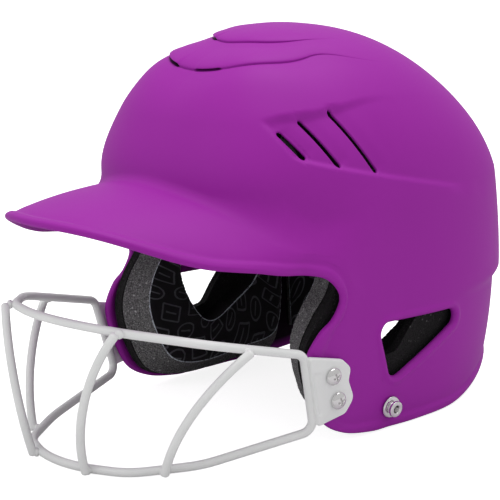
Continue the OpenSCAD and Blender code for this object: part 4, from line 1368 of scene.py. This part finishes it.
def rounded_profile(corners: list, radius: float, steps: int = 5) -> Array:
    """A closed profile whose corners are rounded by up to a radius, less beside short sides."""
    points = np.array(corners, float)
    ahead = np.linalg.norm(np.roll(points, -1, 0) - points, axis=1)
    short = np.minimum(ahead, np.roll(ahead, 1))
    u, v = unit(np.roll(points, 1, 0) - points), unit(np.roll(points, -1, 0) - points)
    half = np.arccos(np.clip(np.sum(u * v, -1), -1, 1)) / 2
    return rounded(points, np.minimum(radius, 0.4 * short * np.tan(half)), steps)


@dataclass
class Seat:
    """A place on the left flap with a frame whose +X leans with the flap and points out."""

    form: HelmetForm
    fwd: float
    z: float
    proud: float = 0.0

    def __post_init__(self) -> None:
        """Works out the seat's place and lean."""
        near = self.form.side_point(np.full(3, self.fwd), self.z + np.array([0.0, 5.0, -5.0]))
        lean = math.atan2(near[1, 0] - near[2, 0], 10.0)
        self.origin = np.array([near[0, 0] + self.proud, self.form.dome_y - self.fwd, self.z])
        c, s = math.cos(lean), math.sin(lean)
        self.turn = np.array([[c, 0.0, -s], [0.0, 1.0, 0.0], [s, 0.0, c]])

    def put(self, points: Array) -> Array:
        """Points given in the seat's frame, in the helmet's frame."""
        return points @ self.turn + self.origin


@dataclass(frozen=True)
class Upright:
    """How one upright crosses both bars of the loop, and how it is bent.

    top and foot each hold the share of the bar where they cross and the direction in which the
    upright lies beside it. Its four bend points are counted from the crossings: two from the
    upper one, and two from the lower one with their height above the floor. trim comes off
    the top.
    """

    word: str
    bar: int
    top: tuple
    foot: tuple
    bends: tuple
    trim: float


UPRIGHTS = (
    Upright(
        "outer", 0, (0.62, (0.92, -0.23, -0.3)), (0.52, (0.8, -0.56, -0.2)),
        ((1.9, 3, 3), (-10, -16.7, -15.4), (8.1, 3.7, 26), (0, 0, 1.2)), 3.0,
    ),
    Upright(
        "inner", 1, (0.97, (0.62, -0.78, 0)), (0.5, (0.36, -0.93, 0)),
        ((0.8, 0.6, 3), (-12.4, -9, -19.3), (1.9, -4.5, 27), (0, 1, 0.8)), 2.0,
    ),
)


@dataclass
class Guard:
    """The face guard: a bent loop of wire, four uprights welded across it, and two side plates."""

    form: HelmetForm
    finishes: Finishes
    # Wire and points round it, space between welded wires, radius and height of the weld
    wire_d: float = 5.0
    sides: int = 36
    weld_gap: float = 0.15
    weld_r: float = 2.7
    weld_h: float = 1.9
    # Loop: its front, its sides and the axis that its wires face, ahead of the dome's centre
    fwd: float = 186.0
    side_fwd: float = 85.0
    top_z: float = 85.0
    axis_fwd: float = 93.0
    # Side plates: space to the shell, middle, thickness, radius of the edge; that of a wire's end
    shell_gap: float = 1.25
    plate_fwd: float = 62.0
    plate_z: float = 36.0
    plate_t: float = 3.0
    plate_edge: float = 1.0
    end_round: float = 1.5

    def __post_init__(self) -> None:
        """Works out the bend points, on the wearer's left."""
        self.plate = Seat(self.form, self.plate_fwd, self.plate_z, self.shell_gap)
        x, y = self.plate.origin[0] + 0.9, self.form.dome_y - self.fwd
        back, mid = self.form.dome_y - self.side_fwd, self.wire_d / 2
        self.axis = np.array([0, self.form.dome_y - self.axis_fwd, 0])
        z = self.top_z
        self.top = np.array(
            [[x, back, z - 26], [x - 9, y + 44, z - 10], [0.505 * x, y + 11.5, z - 2.5], [0, y - 5, z + 1]]
        )
        self.low = np.array(
            [[x - 4.5, back + 9, 13], [0.726 * x, y + 47, 4], [0.484 * x, y + 14.5, mid], [0, y - 4, mid]]
        )
        far_top, far_low = flipped(self.top[-2::-1]), flipped(self.low[:-1])
        self.loop = np.vstack([self.top, far_top, far_low, self.low[::-1]])

    def beside(self, bar: Array, share: float, way: tuple) -> tuple[Array, Array]:
        """A point beside a bar, outside it by one wire, and the place where the two touch."""
        at, step = mix(*bar, share), unit(np.array(way)) * (self.wire_d + self.weld_gap)
        return at + step, at + step / 2

    def tube(self, path: Array, radius: Array, closed: bool) -> Array:
        """Round section carried along a path, each ring started on the side away from the face."""
        if closed:
            along = unit(np.roll(path, -1, 0) - np.roll(path, 1, 0))
        else:
            along = unit(np.vstack([path[1:], path[-1:]]) - np.vstack([path[:1], path[:-1]]))
        out = path * np.array([1, 1, 0]) - self.axis
        x = unit(out - np.sum(out * along, -1, keepdims=True) * along)[:, None]
        y = np.cross(along[:, None], x)
        q = np.linspace(0, 2 * math.pi, self.sides, endpoint=False)[None, :, None]
        return path[:, None] + radius[:, None, None] * (np.cos(q) * x + np.sin(q) * y)

    def rod(self, points: Array, trim: float) -> Array:
        """A curved wire with rounded ends.

        The curve is the cubic Bezier with the four points as controls, the middle two pushed
        out by a third of the bow, so that it runs through the middle of the bent wire's leg.

        Args:
            points: The four bend points, from top to foot.
            trim: Length taken off the top.

        Returns:
            The rings of the wire, which end in a point in the middle of each end.
        """
        a, b, c, d = points
        push = ((b + c) - (a + d)) / 6
        f = np.linspace(0, 1, 60)[:, None]
        f = f[f[:, 0] * np.linalg.norm(3 * (b + push - a)) > trim - 1e-9]
        g = 1 - f
        line = g**3 * a + 3 * g**2 * f * (b + push) + 3 * g * f**2 * (c + push) + f**3 * d
        q = np.linspace(90, 0, 7)
        inset = np.append(0.0, self.end_round * (1 - sind(q)))[:, None]
        radius = np.append(0.0, self.wire_d / 2 - self.end_round * (1 - cosd(q)))
        first, last = unit(line[1] - line[0]), unit(line[-2] - line[-1])
        path = np.vstack([line[0] + inset * first, line[2:-2], (line[-1] + inset * last)[::-1]])
        full = np.full(len(line) - 4, self.wire_d / 2)
        return self.tube(path, np.concatenate([radius, full, radius[::-1]]), False)

    def weld(self, centre: Array, out: Array) -> Array:
        """A flattened bead that fills the corners where two wires cross."""
        q, h = np.meshgrid(np.linspace(0, 360, 28, endpoint=False), np.linspace(-90, 90, 13), indexing="ij")
        way = unit(out)
        x = unit(np.cross(way, np.array([0.0, 0.0, 1.0])))
        y = np.cross(way, x)
        flat = (cosd(h) * cosd(q))[..., None] * x + (cosd(h) * sind(q))[..., None] * y
        return centre + self.weld_r * flat + self.weld_h * sind(h)[..., None] * way

    def build_loop(self) -> Piece:
        """The loop: long bars above and below, joined by a short leg at each plate."""
        radii = [7, 35, 60, 90, 60, 35, 7, 7, 60, 35, 80, 35, 60, 7]
        corners = zip(np.roll(self.loop, 1, 0), self.loop, np.roll(self.loop, -1, 0), radii)
        path = np.vstack([bend(*corner) for corner in corners])
        draft = Draft()
        draft.grid(self.tube(path, np.full(len(path), self.wire_d / 2), True), around=True, across=True)
        return draft.build("guard_wire", [self.finishes.coat])

    def build_upright(self, kind: Upright, side: Side) -> Piece:
        """One upright with its two welds."""
        high, high_weld = self.beside(self.top[kind.bar : kind.bar + 2], *kind.top)
        foot, foot_weld = self.beside(self.low[kind.bar + 1 : kind.bar + 3], *kind.foot)
        start = np.stack([high, high, foot * [1, 1, 0], foot * [1, 1, 0]])
        draft = Draft()
        draft.grid(side.take(self.rod(start + kind.bends, kind.trim)), across=True)
        for end, weld in ((high, high_weld), (foot, foot_weld)):
            draft.grid(side.take(self.weld(weld, end - weld)), around=True)
        return draft.build(f"guard_{kind.word}_wire_{side.word}", [self.finishes.coat])

    def front_edge(self, z: Array) -> Array:
        """Place of the loop's leg beside the plate, at a height in the plate's frame."""
        return np.interp(z, [-24.0, 23.0], [-14.0, -23.0])

    def height(self, y: Array, z: Array) -> Array:
        """Height of the plate's face: flat, run out into the wire, with a pressed pocket beside it."""
        reach = y - self.front_edge(z)
        pocket = smooth((z + 14.5) / 3) * smooth((13.0 - z) / 3)
        shallow = smooth((reach - 1.2) / 1.0) * (1 - smooth((reach - 3.4) / 16.0))
        blend = hill(reach, 0.0, 3.2) * (1 - pocket)
        return self.plate_t + 0.45 * blend - pocket * (0.75 * shallow + 0.5 * hill(reach, 2.5, 0.8))

    def build_plate(self, side: Side) -> Piece:
        """One side plate: a pressed plate with rounded edges whose front edge is welded to the wire."""
        corners = np.array([[-22.4, 22.2], [3, 15.5], [9.5, 9.5], [8, 2], [12.5, -9], [6, -17], [-14.6, -20]])
        outline = evenly(rounded(corners, np.array([1.5, 3, 5, 5, 6, 5, 2.5]), 12), 260)
        away = outward(outline)
        middle = np.array([-3.0, 0.0])
        q = np.linspace(0, 90, 7)
        inset = np.concatenate([[0.35, 0.0], self.plate_edge * (1 - cosd(q))])
        level = np.concatenate([[0.0, 0.35], self.plate_t - self.plate_edge * (1 - sind(q))])
        rows = outline[:, None, :] - inset[None, :, None] * away[:, None, :]
        run = np.concatenate([np.linspace(0, 0.4, 22)[1:], np.linspace(0.4, 1, 12)[1:]])
        face = mix(rows[:, -1:, :], middle, run[None, :, None])
        flat = np.concatenate([np.broadcast_to(middle, (len(outline), 1, 2)), rows, face], 1)
        x = np.concatenate([[0.0], level, np.full(len(run), self.plate_t)])[None, :]
        shaped = self.height(flat[..., 0], flat[..., 1]) - self.plate_t
        x = x + shaped * np.clip(x / self.plate_t, 0, 1) ** 2
        points = self.plate.put(np.stack([x, flat[..., 0], flat[..., 1]], -1))
        draft = Draft()
        draft.grid(side.take(points), around=True)
        return draft.build(f"guard_side_plate_{side.word}", [self.finishes.coat])

    def build(self) -> None:
        """Builds the whole guard."""
        dress(self.build_loop(), "guard", "guard_loop")
        for side in Side:
            for kind in UPRIGHTS:
                dress(self.build_upright(kind, side), "guard", f"guard_upright_{kind.word}_{side.word}")
            dress(self.build_plate(side), "guard", f"guard_plate_{side.word}")


@dataclass
class Hardware:
    """Screws, snap studs, and the tee nuts and washers inside the flaps."""

    form: HelmetForm
    finishes: Finishes
    guard: Guard
    # Screw head and shank, thickness of the tee nut's flange
    head_r: float = 5.1
    head_h: float = 3.3
    shank_r: float = 2.4
    nut_t: float = 1.2
    # Cross recess: length and half width of an arm, depth, and degrees that it is turned by
    arm: float = 2.5
    arm_half_w: float = 0.55
    recess: float = 1.5
    recess_turn: float = 17.0
    # Distance ahead of the dome's centre and height
    screw_seats: tuple = ((66.3, 43.5), (62.3, 28.5))
    stud_seat: tuple = (18.2, 13.3)

    def recess_depth(self, a: Array, b: Array) -> Array:
        """Depth of the cross recess: two crossed arms that get deeper towards the middle."""
        reach = np.hypot(a, b)
        arms = [
            smooth((self.arm - np.abs(u)) / 0.35) * smooth((self.arm_half_w - np.abs(v)) / 0.3 + 0.5)
            for u, v in ((a, b), (b, a))
        ]
        return np.maximum(*arms) * self.recess * (1 - 0.45 * reach / self.arm)

    def screw(self) -> Array:
        """One truss-head screw about +X: an elliptical head with a cross recess, and its shank."""
        q = np.linspace(0, 90, 16)
        tail = -self.guard.shell_gap - self.form.wall - self.nut_t
        base = self.guard.plate_t
        brim, rise = base + 0.5, self.head_h - 0.5
        head = np.stack([self.head_r * cosd(q), brim + rise * sind(q)], -1)
        fine = np.linspace(head[12, 0], 0, 30)[:, None]
        dome = brim + rise * np.sqrt(1 - (fine / self.head_r) ** 2)
        shank = [[0, tail], [self.shank_r - 0.4, tail], [self.shank_r, tail + 0.4], [self.shank_r, base]]
        under = [[self.head_r - 0.2, base], [self.head_r, base + 0.15]]
        profile = np.vstack([shank, under, head[:12], np.hstack([fine, dome])])
        points = lathe(profile, 168)
        on_head = points[..., 0] > brim
        c, s = cosd(self.recess_turn), sind(self.recess_turn)
        a, b = points[..., 1] * c + points[..., 2] * s, points[..., 2] * c - points[..., 1] * s
        points[..., 0] -= np.where(on_head, self.recess_depth(a, b), 0.0)
        return points

    def build_screws(self, side: Side) -> Piece:
        """The two screws of one side plate."""
        draft = Draft()
        for fwd, z in self.screw_seats:
            shift = np.array([0.0, self.guard.plate_fwd - fwd, z - self.guard.plate_z])
            points = self.guard.plate.put(self.screw() + shift)
            draft.grid(side.take(points), around=True)
        return draft.build(f"truss_screws_{side.word}", [self.finishes.bright], 32.0)

    def build_stud(self, side: Side) -> Piece:
        """One snap stud: flange, waisted neck, ring-shaped cap with a hollow, and hollow post."""
        wall = self.form.wall
        corners = [
            [1.5, -wall - 2], [2.4, -wall - 2], [2.4, 0.9], [6.1, 0.9], [6.5, 1.2], [5.9, 2.0], [3.4, 2.3],
            [3.2, 3.2], [4.2, 3.6], [4.7, 4.1], [4.7, 5.5], [3.8, 6.0], [2.6, 6.0], [2.2, 5.4], [1.5, 2.0],
        ]
        points = Seat(self.form, *self.stud_seat).put(lathe(rounded_profile(corners, 0.6), 72))
        draft = Draft()
        draft.grid(side.take(points), around=True, across=True)
        return draft.build(f"snap_fastener_{side.word}", [self.finishes.bright], 35.0)

    def build(self) -> None:
        """Builds the screws and studs, and gives the hidden steel its finish."""
        for side in Side:
            dress(self.build_screws(side), "fasteners", f"guard_screws_{side.word}")
            dress(self.build_stud(side), "fasteners", f"snap_stud_{side.word}")
            for word in ("tee_nuts", "stud_washer"):
                for place_in in bpy.data.objects[f"{word}_{side.word}"].material_slots:
                    place_in.material = self.finishes.steel


class Face(Enum):
    """The finishes of a pad, by their number."""

    FOAM = 0
    CLOTH = 1
    FRAY = 2
    # Near black: a pad's back, and painted shade on the wall round the ear's hole.
    DARK = 3


def walked(points: Array, axis: int) -> Array:
    """Distance walked along one axis of a grid, in millimetres."""
    steps = np.linalg.norm(np.diff(points, axis=axis), axis=-1)
    start = np.zeros_like(np.take(steps, [0], axis))
    return np.concatenate([start, np.cumsum(steps, axis)], axis)


@dataclass
class Pad:
    """A pad cut from foam sheet, with cloth on the face towards the head.

    place turns a share along, a share across and a depth into points. The pad lies between a
    back depth and a face depth, both grids over the shares along (rows) and across (columns).
    bow is the share across by which a cut side is hollow, and slant the share by which its
    first side leans in.
    """

    place: Callable[[Array, Array, Array], Array]
    along: Array
    across: Array
    back: Array
    face: Array
    side_steps: int = 7
    bow: float = 0.6 / 40.0
    ragged: float = 0.16
    seed: float = 1.0
    slant: float = 0.0

    def wall(self, first: Array, last: Array, v: float, w: float) -> tuple[Array, Array]:
        """Columns of a side wall between two depths and shares, bowed a little along the cut."""
        s = np.linspace(0, 1, self.side_steps + 2)[1:-1][None, :]
        depth = mix(first[:, None], last[:, None], s)
        lean = self.bow * np.sin(math.pi * s) * (1 - 2 * round(v))
        return np.broadcast_to(mix(v, w, s) + lean, depth.shape), depth

    def draft(self) -> Draft:
        """The closed surface of the pad.

        Its cross-section runs over the back, up one side, over the face and down the other
        side; at both ends it closes to a line, which makes the flat ends. The edge of the face
        is raised by sums of sines, as a cut cloth is, and gets the frayed finish.

        Returns:
            The draft, with pattern places in millimetres on the face.
        """
        n, m = len(self.along), len(self.across)
        v = np.broadcast_to(self.across[None, :], (n, m))
        run = np.arange(n)[:, None] * 1.9 + self.seed
        tuft = self.ragged * (np.sin(2.1 * run) + np.sin(3.7 * run + 1) + 0.8 * np.sin(5.3 * run))
        face = self.face.copy()
        face[:, [0, -1]] -= tuft + 0.25
        first, last = float(self.across[0]), float(self.across[-1])
        over = mix(self.slant, 1.0, v)
        v1, d1 = self.wall(self.back[:, -1], face[:, -1], last, last)
        v0, d0 = self.wall(face[:, 0], self.back[:, 0], mix(self.slant, 1.0, first), first)
        shares = np.concatenate([v, v1, over[:, ::-1], v0], 1)
        depths = np.concatenate([self.back, d1, face[:, ::-1], d0], 1)
        sides = self.side_steps
        middle = (self.back + face) / 2
        near, far = (
            np.concatenate([row, row[-1:].repeat(sides), row[::-1], row[:1].repeat(sides)])
            for row in (middle[0], middle[-1])
        )
        shares = np.vstack([shares[:1], shares, shares[-1:]])
        shares[[0, -1]] = np.concatenate([v[0], v[0, -1:].repeat(sides), over[0, ::-1], v0[0]])
        depths = np.vstack([near, depths, far])
        rows = np.concatenate([self.along[:1], self.along, self.along[-1:]])
        points = self.place(np.broadcast_to(rows[:, None], shares.shape), shares, depths)
        count = points.shape[1]
        cells = np.full((n + 1, count), Face.FOAM.value)
        cells[:, : m - 1] = Face.DARK.value
        # The wall round the ear's hole gets the near-black finish as painted shade.
        if self.slant:
            cells[:, m - 1 : m + sides] = Face.DARK.value
        at = m + sides
        cells[1:-1, at : at + m - 1] = Face.CLOTH.value
        cells[1:-1, [at, at + m - 2]] = Face.FRAY.value
        cells[[1, -2], at : at + m - 1] = Face.FRAY.value
        uv = np.zeros((n + 2, count + 1, 2))
        uv[..., 0] = walked(points, 0).mean(1)[:, None]
        uv[:, :count, 1] = walked(points, 1)
        uv[:, count, 1] = uv[:, count - 1, 1]
        made = Draft()
        made.grid(points, across=True, uv=uv, slot=cells)
        return made


@dataclass(frozen=True)
class Cushion:
    """Where a cushion lies inside the shell, and how it is sewn.

    box holds its first and last azimuth and its lower and upper height, gap its distance from
    the shell and thick its full thickness; grid is the number of its rows and columns. A seam
    tells whether it runs along, and its share of the way, its depth and its half width.
    """

    node: str
    box: tuple
    gap: float
    thick: float
    grid: tuple
    seams: tuple


# Seams of the rear cushions, low and high, and those of the brow's
LOW_SEAM, HIGH_SEAM = (True, 0.76, 2.2, 0.035), (True, 0.3, 1.4, 0.035)
BROW_SEAMS = tuple((False, share, 2.0, 0.012) for share in (0.33, 0.67))
# Cushions that each side has, and those in the middle
SIDE_CUSHIONS = (
    Cushion("rear_pad", (124, 152.5, 16, 76), 2.1, 17, (34, 44), (LOW_SEAM, HIGH_SEAM)),
    Cushion("upper_pad", (68, 128, 112, 152), 1.2, 13, (60, 34), ((False, 0.5, 2.0, 0.02),)),
)
MIDDLE_CUSHIONS = (
    Cushion("rear_pad_center", (154, 206, 20, 78), 2.1, 17, (50, 44), (LOW_SEAM, (False, 0.5, 1.6, 0.02))),
    Cushion("brow_pad", (-52, 52, 134, 176), 0.8, 13, (90, 34), BROW_SEAMS),
)


@dataclass
class Liner:
    """The pads inside the shell: two-layer ear pads, rear, brow, upper side and crown pads."""

    form: HelmetForm
    finishes: Finishes
    shell: Shell
    # Ear pads: depth of the back below the shell's outside, both layers and the glue between
    ear_depth: float = 6.7
    ear_outer_t: float = 6.0
    ear_inner_t: float = 15.0
    layer_gap: float = 0.3
    # Crown pad, and how tight every pad is
    crown_t: float = 14.0
    fill: float = 0.9
    # Share across by which the cut round the ear's hole leans
    slant: dict = field(default_factory=lambda: {Side.LEFT: 0.13, Side.RIGHT: 0.22})

    # Outer and inner outline of the ear pads: distance ahead of the dome centre and height
    EAR_RIM = np.array(
        [[53, 57, 69, 78, 75, 62, 34, -6, -40, -50, -52], [96, 86, 72, 55, 35, 12, 3, 3, 6, 34, 62]], float
    ).T
    EAR_HOLE = np.array(
        [[30, 36, 39, 37, 32, 24, 14, -2, -18, -26, -28], [98, 86, 72, 60, 48, 37, 35, 43, 52, 61, 70]], float
    ).T

    def finish(self, draft: Draft, name: str, node: str, dark: bool = False) -> None:
        made = self.finishes
        faces = [made.dark_foam] * len(Face) if dark else [made.foam, made.cloth, made.fray, made.dark_foam]
        piece = draft.build(name, faces, 38.0)
        dress(piece, "thin_foam" if dark else "padding", node)

    def ear_place(self, u: Array, v: Array, depth: Array) -> Array:
        """A point of the ear pads, across from the outer to the inner outline."""
        last = len(self.EAR_RIM) - 1
        rim, hole = (spline(keys, u[:, 0] * last)[:, None, :] for keys in (self.EAR_RIM, self.EAR_HOLE))
        q = mix(rim, hole, v[..., None])
        return self.form.side_sunk(q[..., 0], q[..., 1], depth)

    def ear_layer(self, side: Side, outer: bool) -> None:
        """One layer of an ear pad: the thin dark back or the thick front with its cloth."""
        along = np.linspace(0, 1, 150)
        across = np.concatenate([[0, 0.02, 0.05, 0.1], np.linspace(0.18, 0.82, 12), [0.9, 0.95, 0.98, 1]])
        flat = np.ones((len(along), len(across)))
        start = self.ear_depth + (0 if outer else self.ear_outer_t + self.layer_gap)
        edge = np.minimum(across, 1 - across)[None, :]
        ends = np.minimum(along, 1 - along)[:, None]
        if outer:
            face = start + self.ear_outer_t - 0.5 * (1 - smooth(edge / 0.04))
        else:
            wave = (0.35 * np.sin(along * 21) + 0.25 * np.sin(along * 47 + 1.3))[:, None]
            puff = smooth(edge / 0.16)
            swell = 0.6 + (1.9 + 0.5 * wave) * puff - 1.2 * (1 - smooth(ends / 0.03))
            face = start + self.ear_inner_t + swell

        def place_of(u: Array, v: Array, d: Array) -> Array:
            """A point of the layer; low down and behind, the outer one reaches into the hole."""
            lap = 0.28 * smooth((u - 0.4) / 0.15) * smooth((0.98 - u) / 0.1) if outer else 0.0
            points = self.ear_place(u, v * (1 + lap), d)
            return side.take(points)

        kind, word, steps = ("backing", "outer", 4) if outer else ("cushion", "inner", 9)
        slant = 0.0 if outer else self.slant[side]
        seed = 1.7 + side.sign
        pad = Pad(place_of, along, across, start * flat, face * flat, steps, seed=seed, slant=slant)
        self.finish(pad.draft(), f"ear_pad_{kind}_{side.word}", f"ear_pad_{word}_{side.word}", dark=outer)

    def clear_depth(self, p: Array, z: Array, depth: float) -> Array:
        """Back depth of a pad, deeper where the scoop pushes the shell in."""
        scoop = side_scoop(self.form.body(p, z))
        return np.maximum(depth, self.shell.inner_depth(scoop) + 0.5)

    def cushion(self, kind: Cushion, side: Side = Side.LEFT, ending: str = "") -> None:
        """A cushion over a range of azimuths and heights.

        Its face is crowned: the thickness is 0.5 to 1 times the full one, by the product of
        two superelliptic swells, and each sewn channel is a Gaussian valley across it.

        Args:
            kind: Its place, thickness and seams, and its node's name without the side.
            side: The side that it sits on; a cushion in the middle is drawn like a left one.
            ending: What its name and its node's name end with.
        """
        p0, p1, z0, z1 = kind.box
        depth = self.form.wall + kind.gap
        along, across = (0.5 - 0.5 * np.cos(math.pi * np.linspace(0.0, 1, k)) for k in kind.grid)
        u, v = np.meshgrid(along, across, indexing="ij")

        def swell(s: Array) -> Array:
            """Superellipse of exponents 5 and 2, 1 in the middle and 0 at both ends."""
            return np.sqrt(np.maximum(0.0, 1 - np.abs(2 * s - 1) ** 5))

        def place_of(a: Array, b: Array, deep: Array) -> Array:
            """A point below the shell's outside; both ends are pinched a little."""
            pinch = 1 - 0.02 * (2 * a - 1) ** 2
            points = self.form.sunk(mix(p0, p1, a), mix(z0, z1, 0.5 + (b - 0.5) * pinch), deep)
            return side.take(points)

        back = self.clear_depth(mix(p0, p1, u), mix(z0, z1, v), depth)
        full = depth + kind.thick - back
        ripple = 0.35 * np.sin(9 * u + 4 * v) * np.sin(7 * v + 1)
        face = back + full * (0.5 + 0.5 * swell(u) * swell(v)) + ripple * swell(u) * swell(v)
        for runs_along, share, deep, half in kind.seams:
            over, beside = (v, u) if runs_along else (u, v)
            face = face - deep * hill(over, share, half) * smooth(swell(beside) * 2)
        node = kind.node + ending
        pad = Pad(place_of, along, across, back, face, seed=p0)
        self.finish(pad.draft(), node.replace("pad", "cushion"), node)

    def crown_pad(self) -> None:
        """The round pad under the crown, crowned towards the head and sewn across twice."""
        form = self.form
        rings, spokes, steps = 34, 120, 5
        p = np.linspace(-180, 180, spokes, endpoint=False)[:, None]
        f = np.sin(np.linspace(0, math.pi / 2, rings))[None, :]
        a = form.edge_a(p) * 0.9 * f
        skin = form.lifted(p, a, 2.0)
        inward = unit(np.array([0, form.dome_y - form.crown_lean, form.dome_top - 110.0]) - skin)
        depth = form.wall + 0.9
        swell = 0.5 + 0.5 * np.sqrt(np.maximum(0, 1 - f**5))
        centred = skin[..., :2] - skin[:1, :1, :2]
        seam = hill(centred[..., 0], 0.0, 2.2) + hill(centred[..., 1], 0.0, 2.2)
        thick = self.crown_t * swell - 2.0 * np.minimum(seam, 1) * smooth((1 - f) * 8)
        top = skin + depth * inward
        low = skin + (depth + thick[..., None]) * inward
        s = np.linspace(0, 1, steps + 2)[None, 1:-1, None]
        wall = mix(top[:, -1:], low[:, -1:], s)
        points = np.concatenate([top, wall, low[:, ::-1]], 1)
        cells = np.full((spokes, points.shape[1] - 1), Face.FOAM.value)
        cells[:, rings + steps :] = Face.CLOTH.value
        cells[:, rings + steps] = Face.FRAY.value
        uv = np.concatenate([points, points[:1]])[..., :2]
        draft = Draft()
        draft.grid(points, around=True, uv=uv, slot=cells)
        self.finish(draft, "crown_cushion", "crown_pad")

    def build(self) -> None:
        """Builds every pad."""
        for side in Side:
            self.ear_layer(side, True)
            self.ear_layer(side, False)
            for kind in SIDE_CUSHIONS:
                self.cushion(kind, side, f"_{side.word}")
        for kind in MIDDLE_CUSHIONS:
            self.cushion(kind)
        self.crown_pad()


@dataclass
class Studio:
    """White floor, soft light and the camera of the photograph."""

    azimuth: float = 50.0
    elevation: float = 12.95
    roll: float = -2.87
    distance: float = 1300.0
    # Pixels to a millimetre at that distance, width of the picture in pixels, and of the sensor
    scale: float = 1.675
    picture_w: float = 500.0
    sensor_w: float = 36.0
    # Middle of the picture, to the right of the origin and above it as the camera sees it
    shift_right: float = -9.5
    shift_up: float = 91.8
    # Half the floor, and its height, in metres
    floor_half: float = 6.0
    floor_z: float = -0.0005

    def camera(self) -> None:
        """Sets the camera from its azimuth, elevation, roll and distance."""
        a, e, r = (math.radians(v) for v in (self.azimuth, self.elevation, self.roll))
        back = np.array([math.sin(a) * math.cos(e), -math.cos(a) * math.cos(e), math.sin(e)])
        right0 = np.array([math.cos(a), math.sin(a), 0.0])
        up0 = np.cross(back, right0)
        right = math.cos(r) * right0 + math.sin(r) * up0
        up = -math.sin(r) * right0 + math.cos(r) * up0
        target = self.shift_right * right + self.shift_up * up
        data = bpy.data.cameras.new("photo_camera")
        data.sensor_width = self.sensor_w
        data.lens = self.sensor_w * self.scale * self.distance / self.picture_w
        data.clip_end = 50.0
        camera = bpy.data.objects.new("photo_camera", data)
        turn = Matrix([list(right), list(up), list(back)]).transposed().to_4x4()
        turn.translation = Vector(list((target + self.distance * back) * MM))
        camera.matrix_world = turn
        bpy.context.scene.collection.objects.link(camera)
        bpy.context.scene.camera = camera

    @staticmethod
    def light(name: str, place_at: tuple, aim: tuple, size: float, power: float) -> None:
        """Adds one soft white box that faces a point."""
        data = bpy.data.lights.new(name, "AREA")
        data.shape, data.size, data.energy = "SQUARE", size, power
        lamp = bpy.data.objects.new(name, data)
        lamp.location = place_at
        lamp.rotation_euler = (Vector(aim) - Vector(place_at)).to_track_quat("-Z", "Y").to_euler()
        bpy.context.scene.collection.objects.link(lamp)

    @staticmethod
    def world() -> None:
        """White behind the helmet, and a dimmer white that lights it."""
        world = bpy.data.worlds.new("soft_white")
        world.use_nodes = True
        sheet = Sheet(world.node_tree)
        seen = sheet.node("ShaderNodeLightPath").outputs["Is Camera Ray"]
        shade = world.node_tree.nodes["Background"]
        shade.inputs["Color"].default_value = (1.0, 1.0, 1.0, 1.0)
        sheet.feed(shade.inputs["Strength"], sheet.fit(seen, 0.45, 0.6))
        bpy.context.scene.world = world
        bpy.context.scene.view_settings.view_transform = "Standard"

    def build(self) -> None:
        """Builds floor, world, lights and camera."""
        self.camera()
        self.world()
        self.light("top_box", (0.05, 0.25, 1.4), (0.0, 0.0, 0.1), 1.0, 9.0)
        self.light("side_box", (-0.3, -1.5, 1.1), (0.0, 0.0, 0.1), 0.7, 3.0)
        s, z = self.floor_half, self.floor_z
        mesh = bpy.data.meshes.new("floor")
        mesh.from_pydata([(-s, -s, z), (s, -s, z), (s, s, z), (-s, s, z)], [], [(0, 1, 2, 3)])
        mesh.materials.append(StudioFloor().make())
        floor = bpy.data.objects.new("floor", mesh)
        bpy.context.scene.collection.objects.link(floor)


def main() -> None:
    """Builds the pieces in order, then the studio."""
    logging.basicConfig(level=logging.INFO, format="%(name)s: %(message)s")
    form, finishes = HelmetForm(), Finishes()
    shell = Shell(form, finishes)
    dress(shell.build(), "shell", "shell")
    guard = Guard(form, finishes)
    guard.build()
    Hardware(form, finishes, guard).build()
    Liner(form, finishes, shell).build()
    Studio().build()


if __name__ == "__main__":
    main()
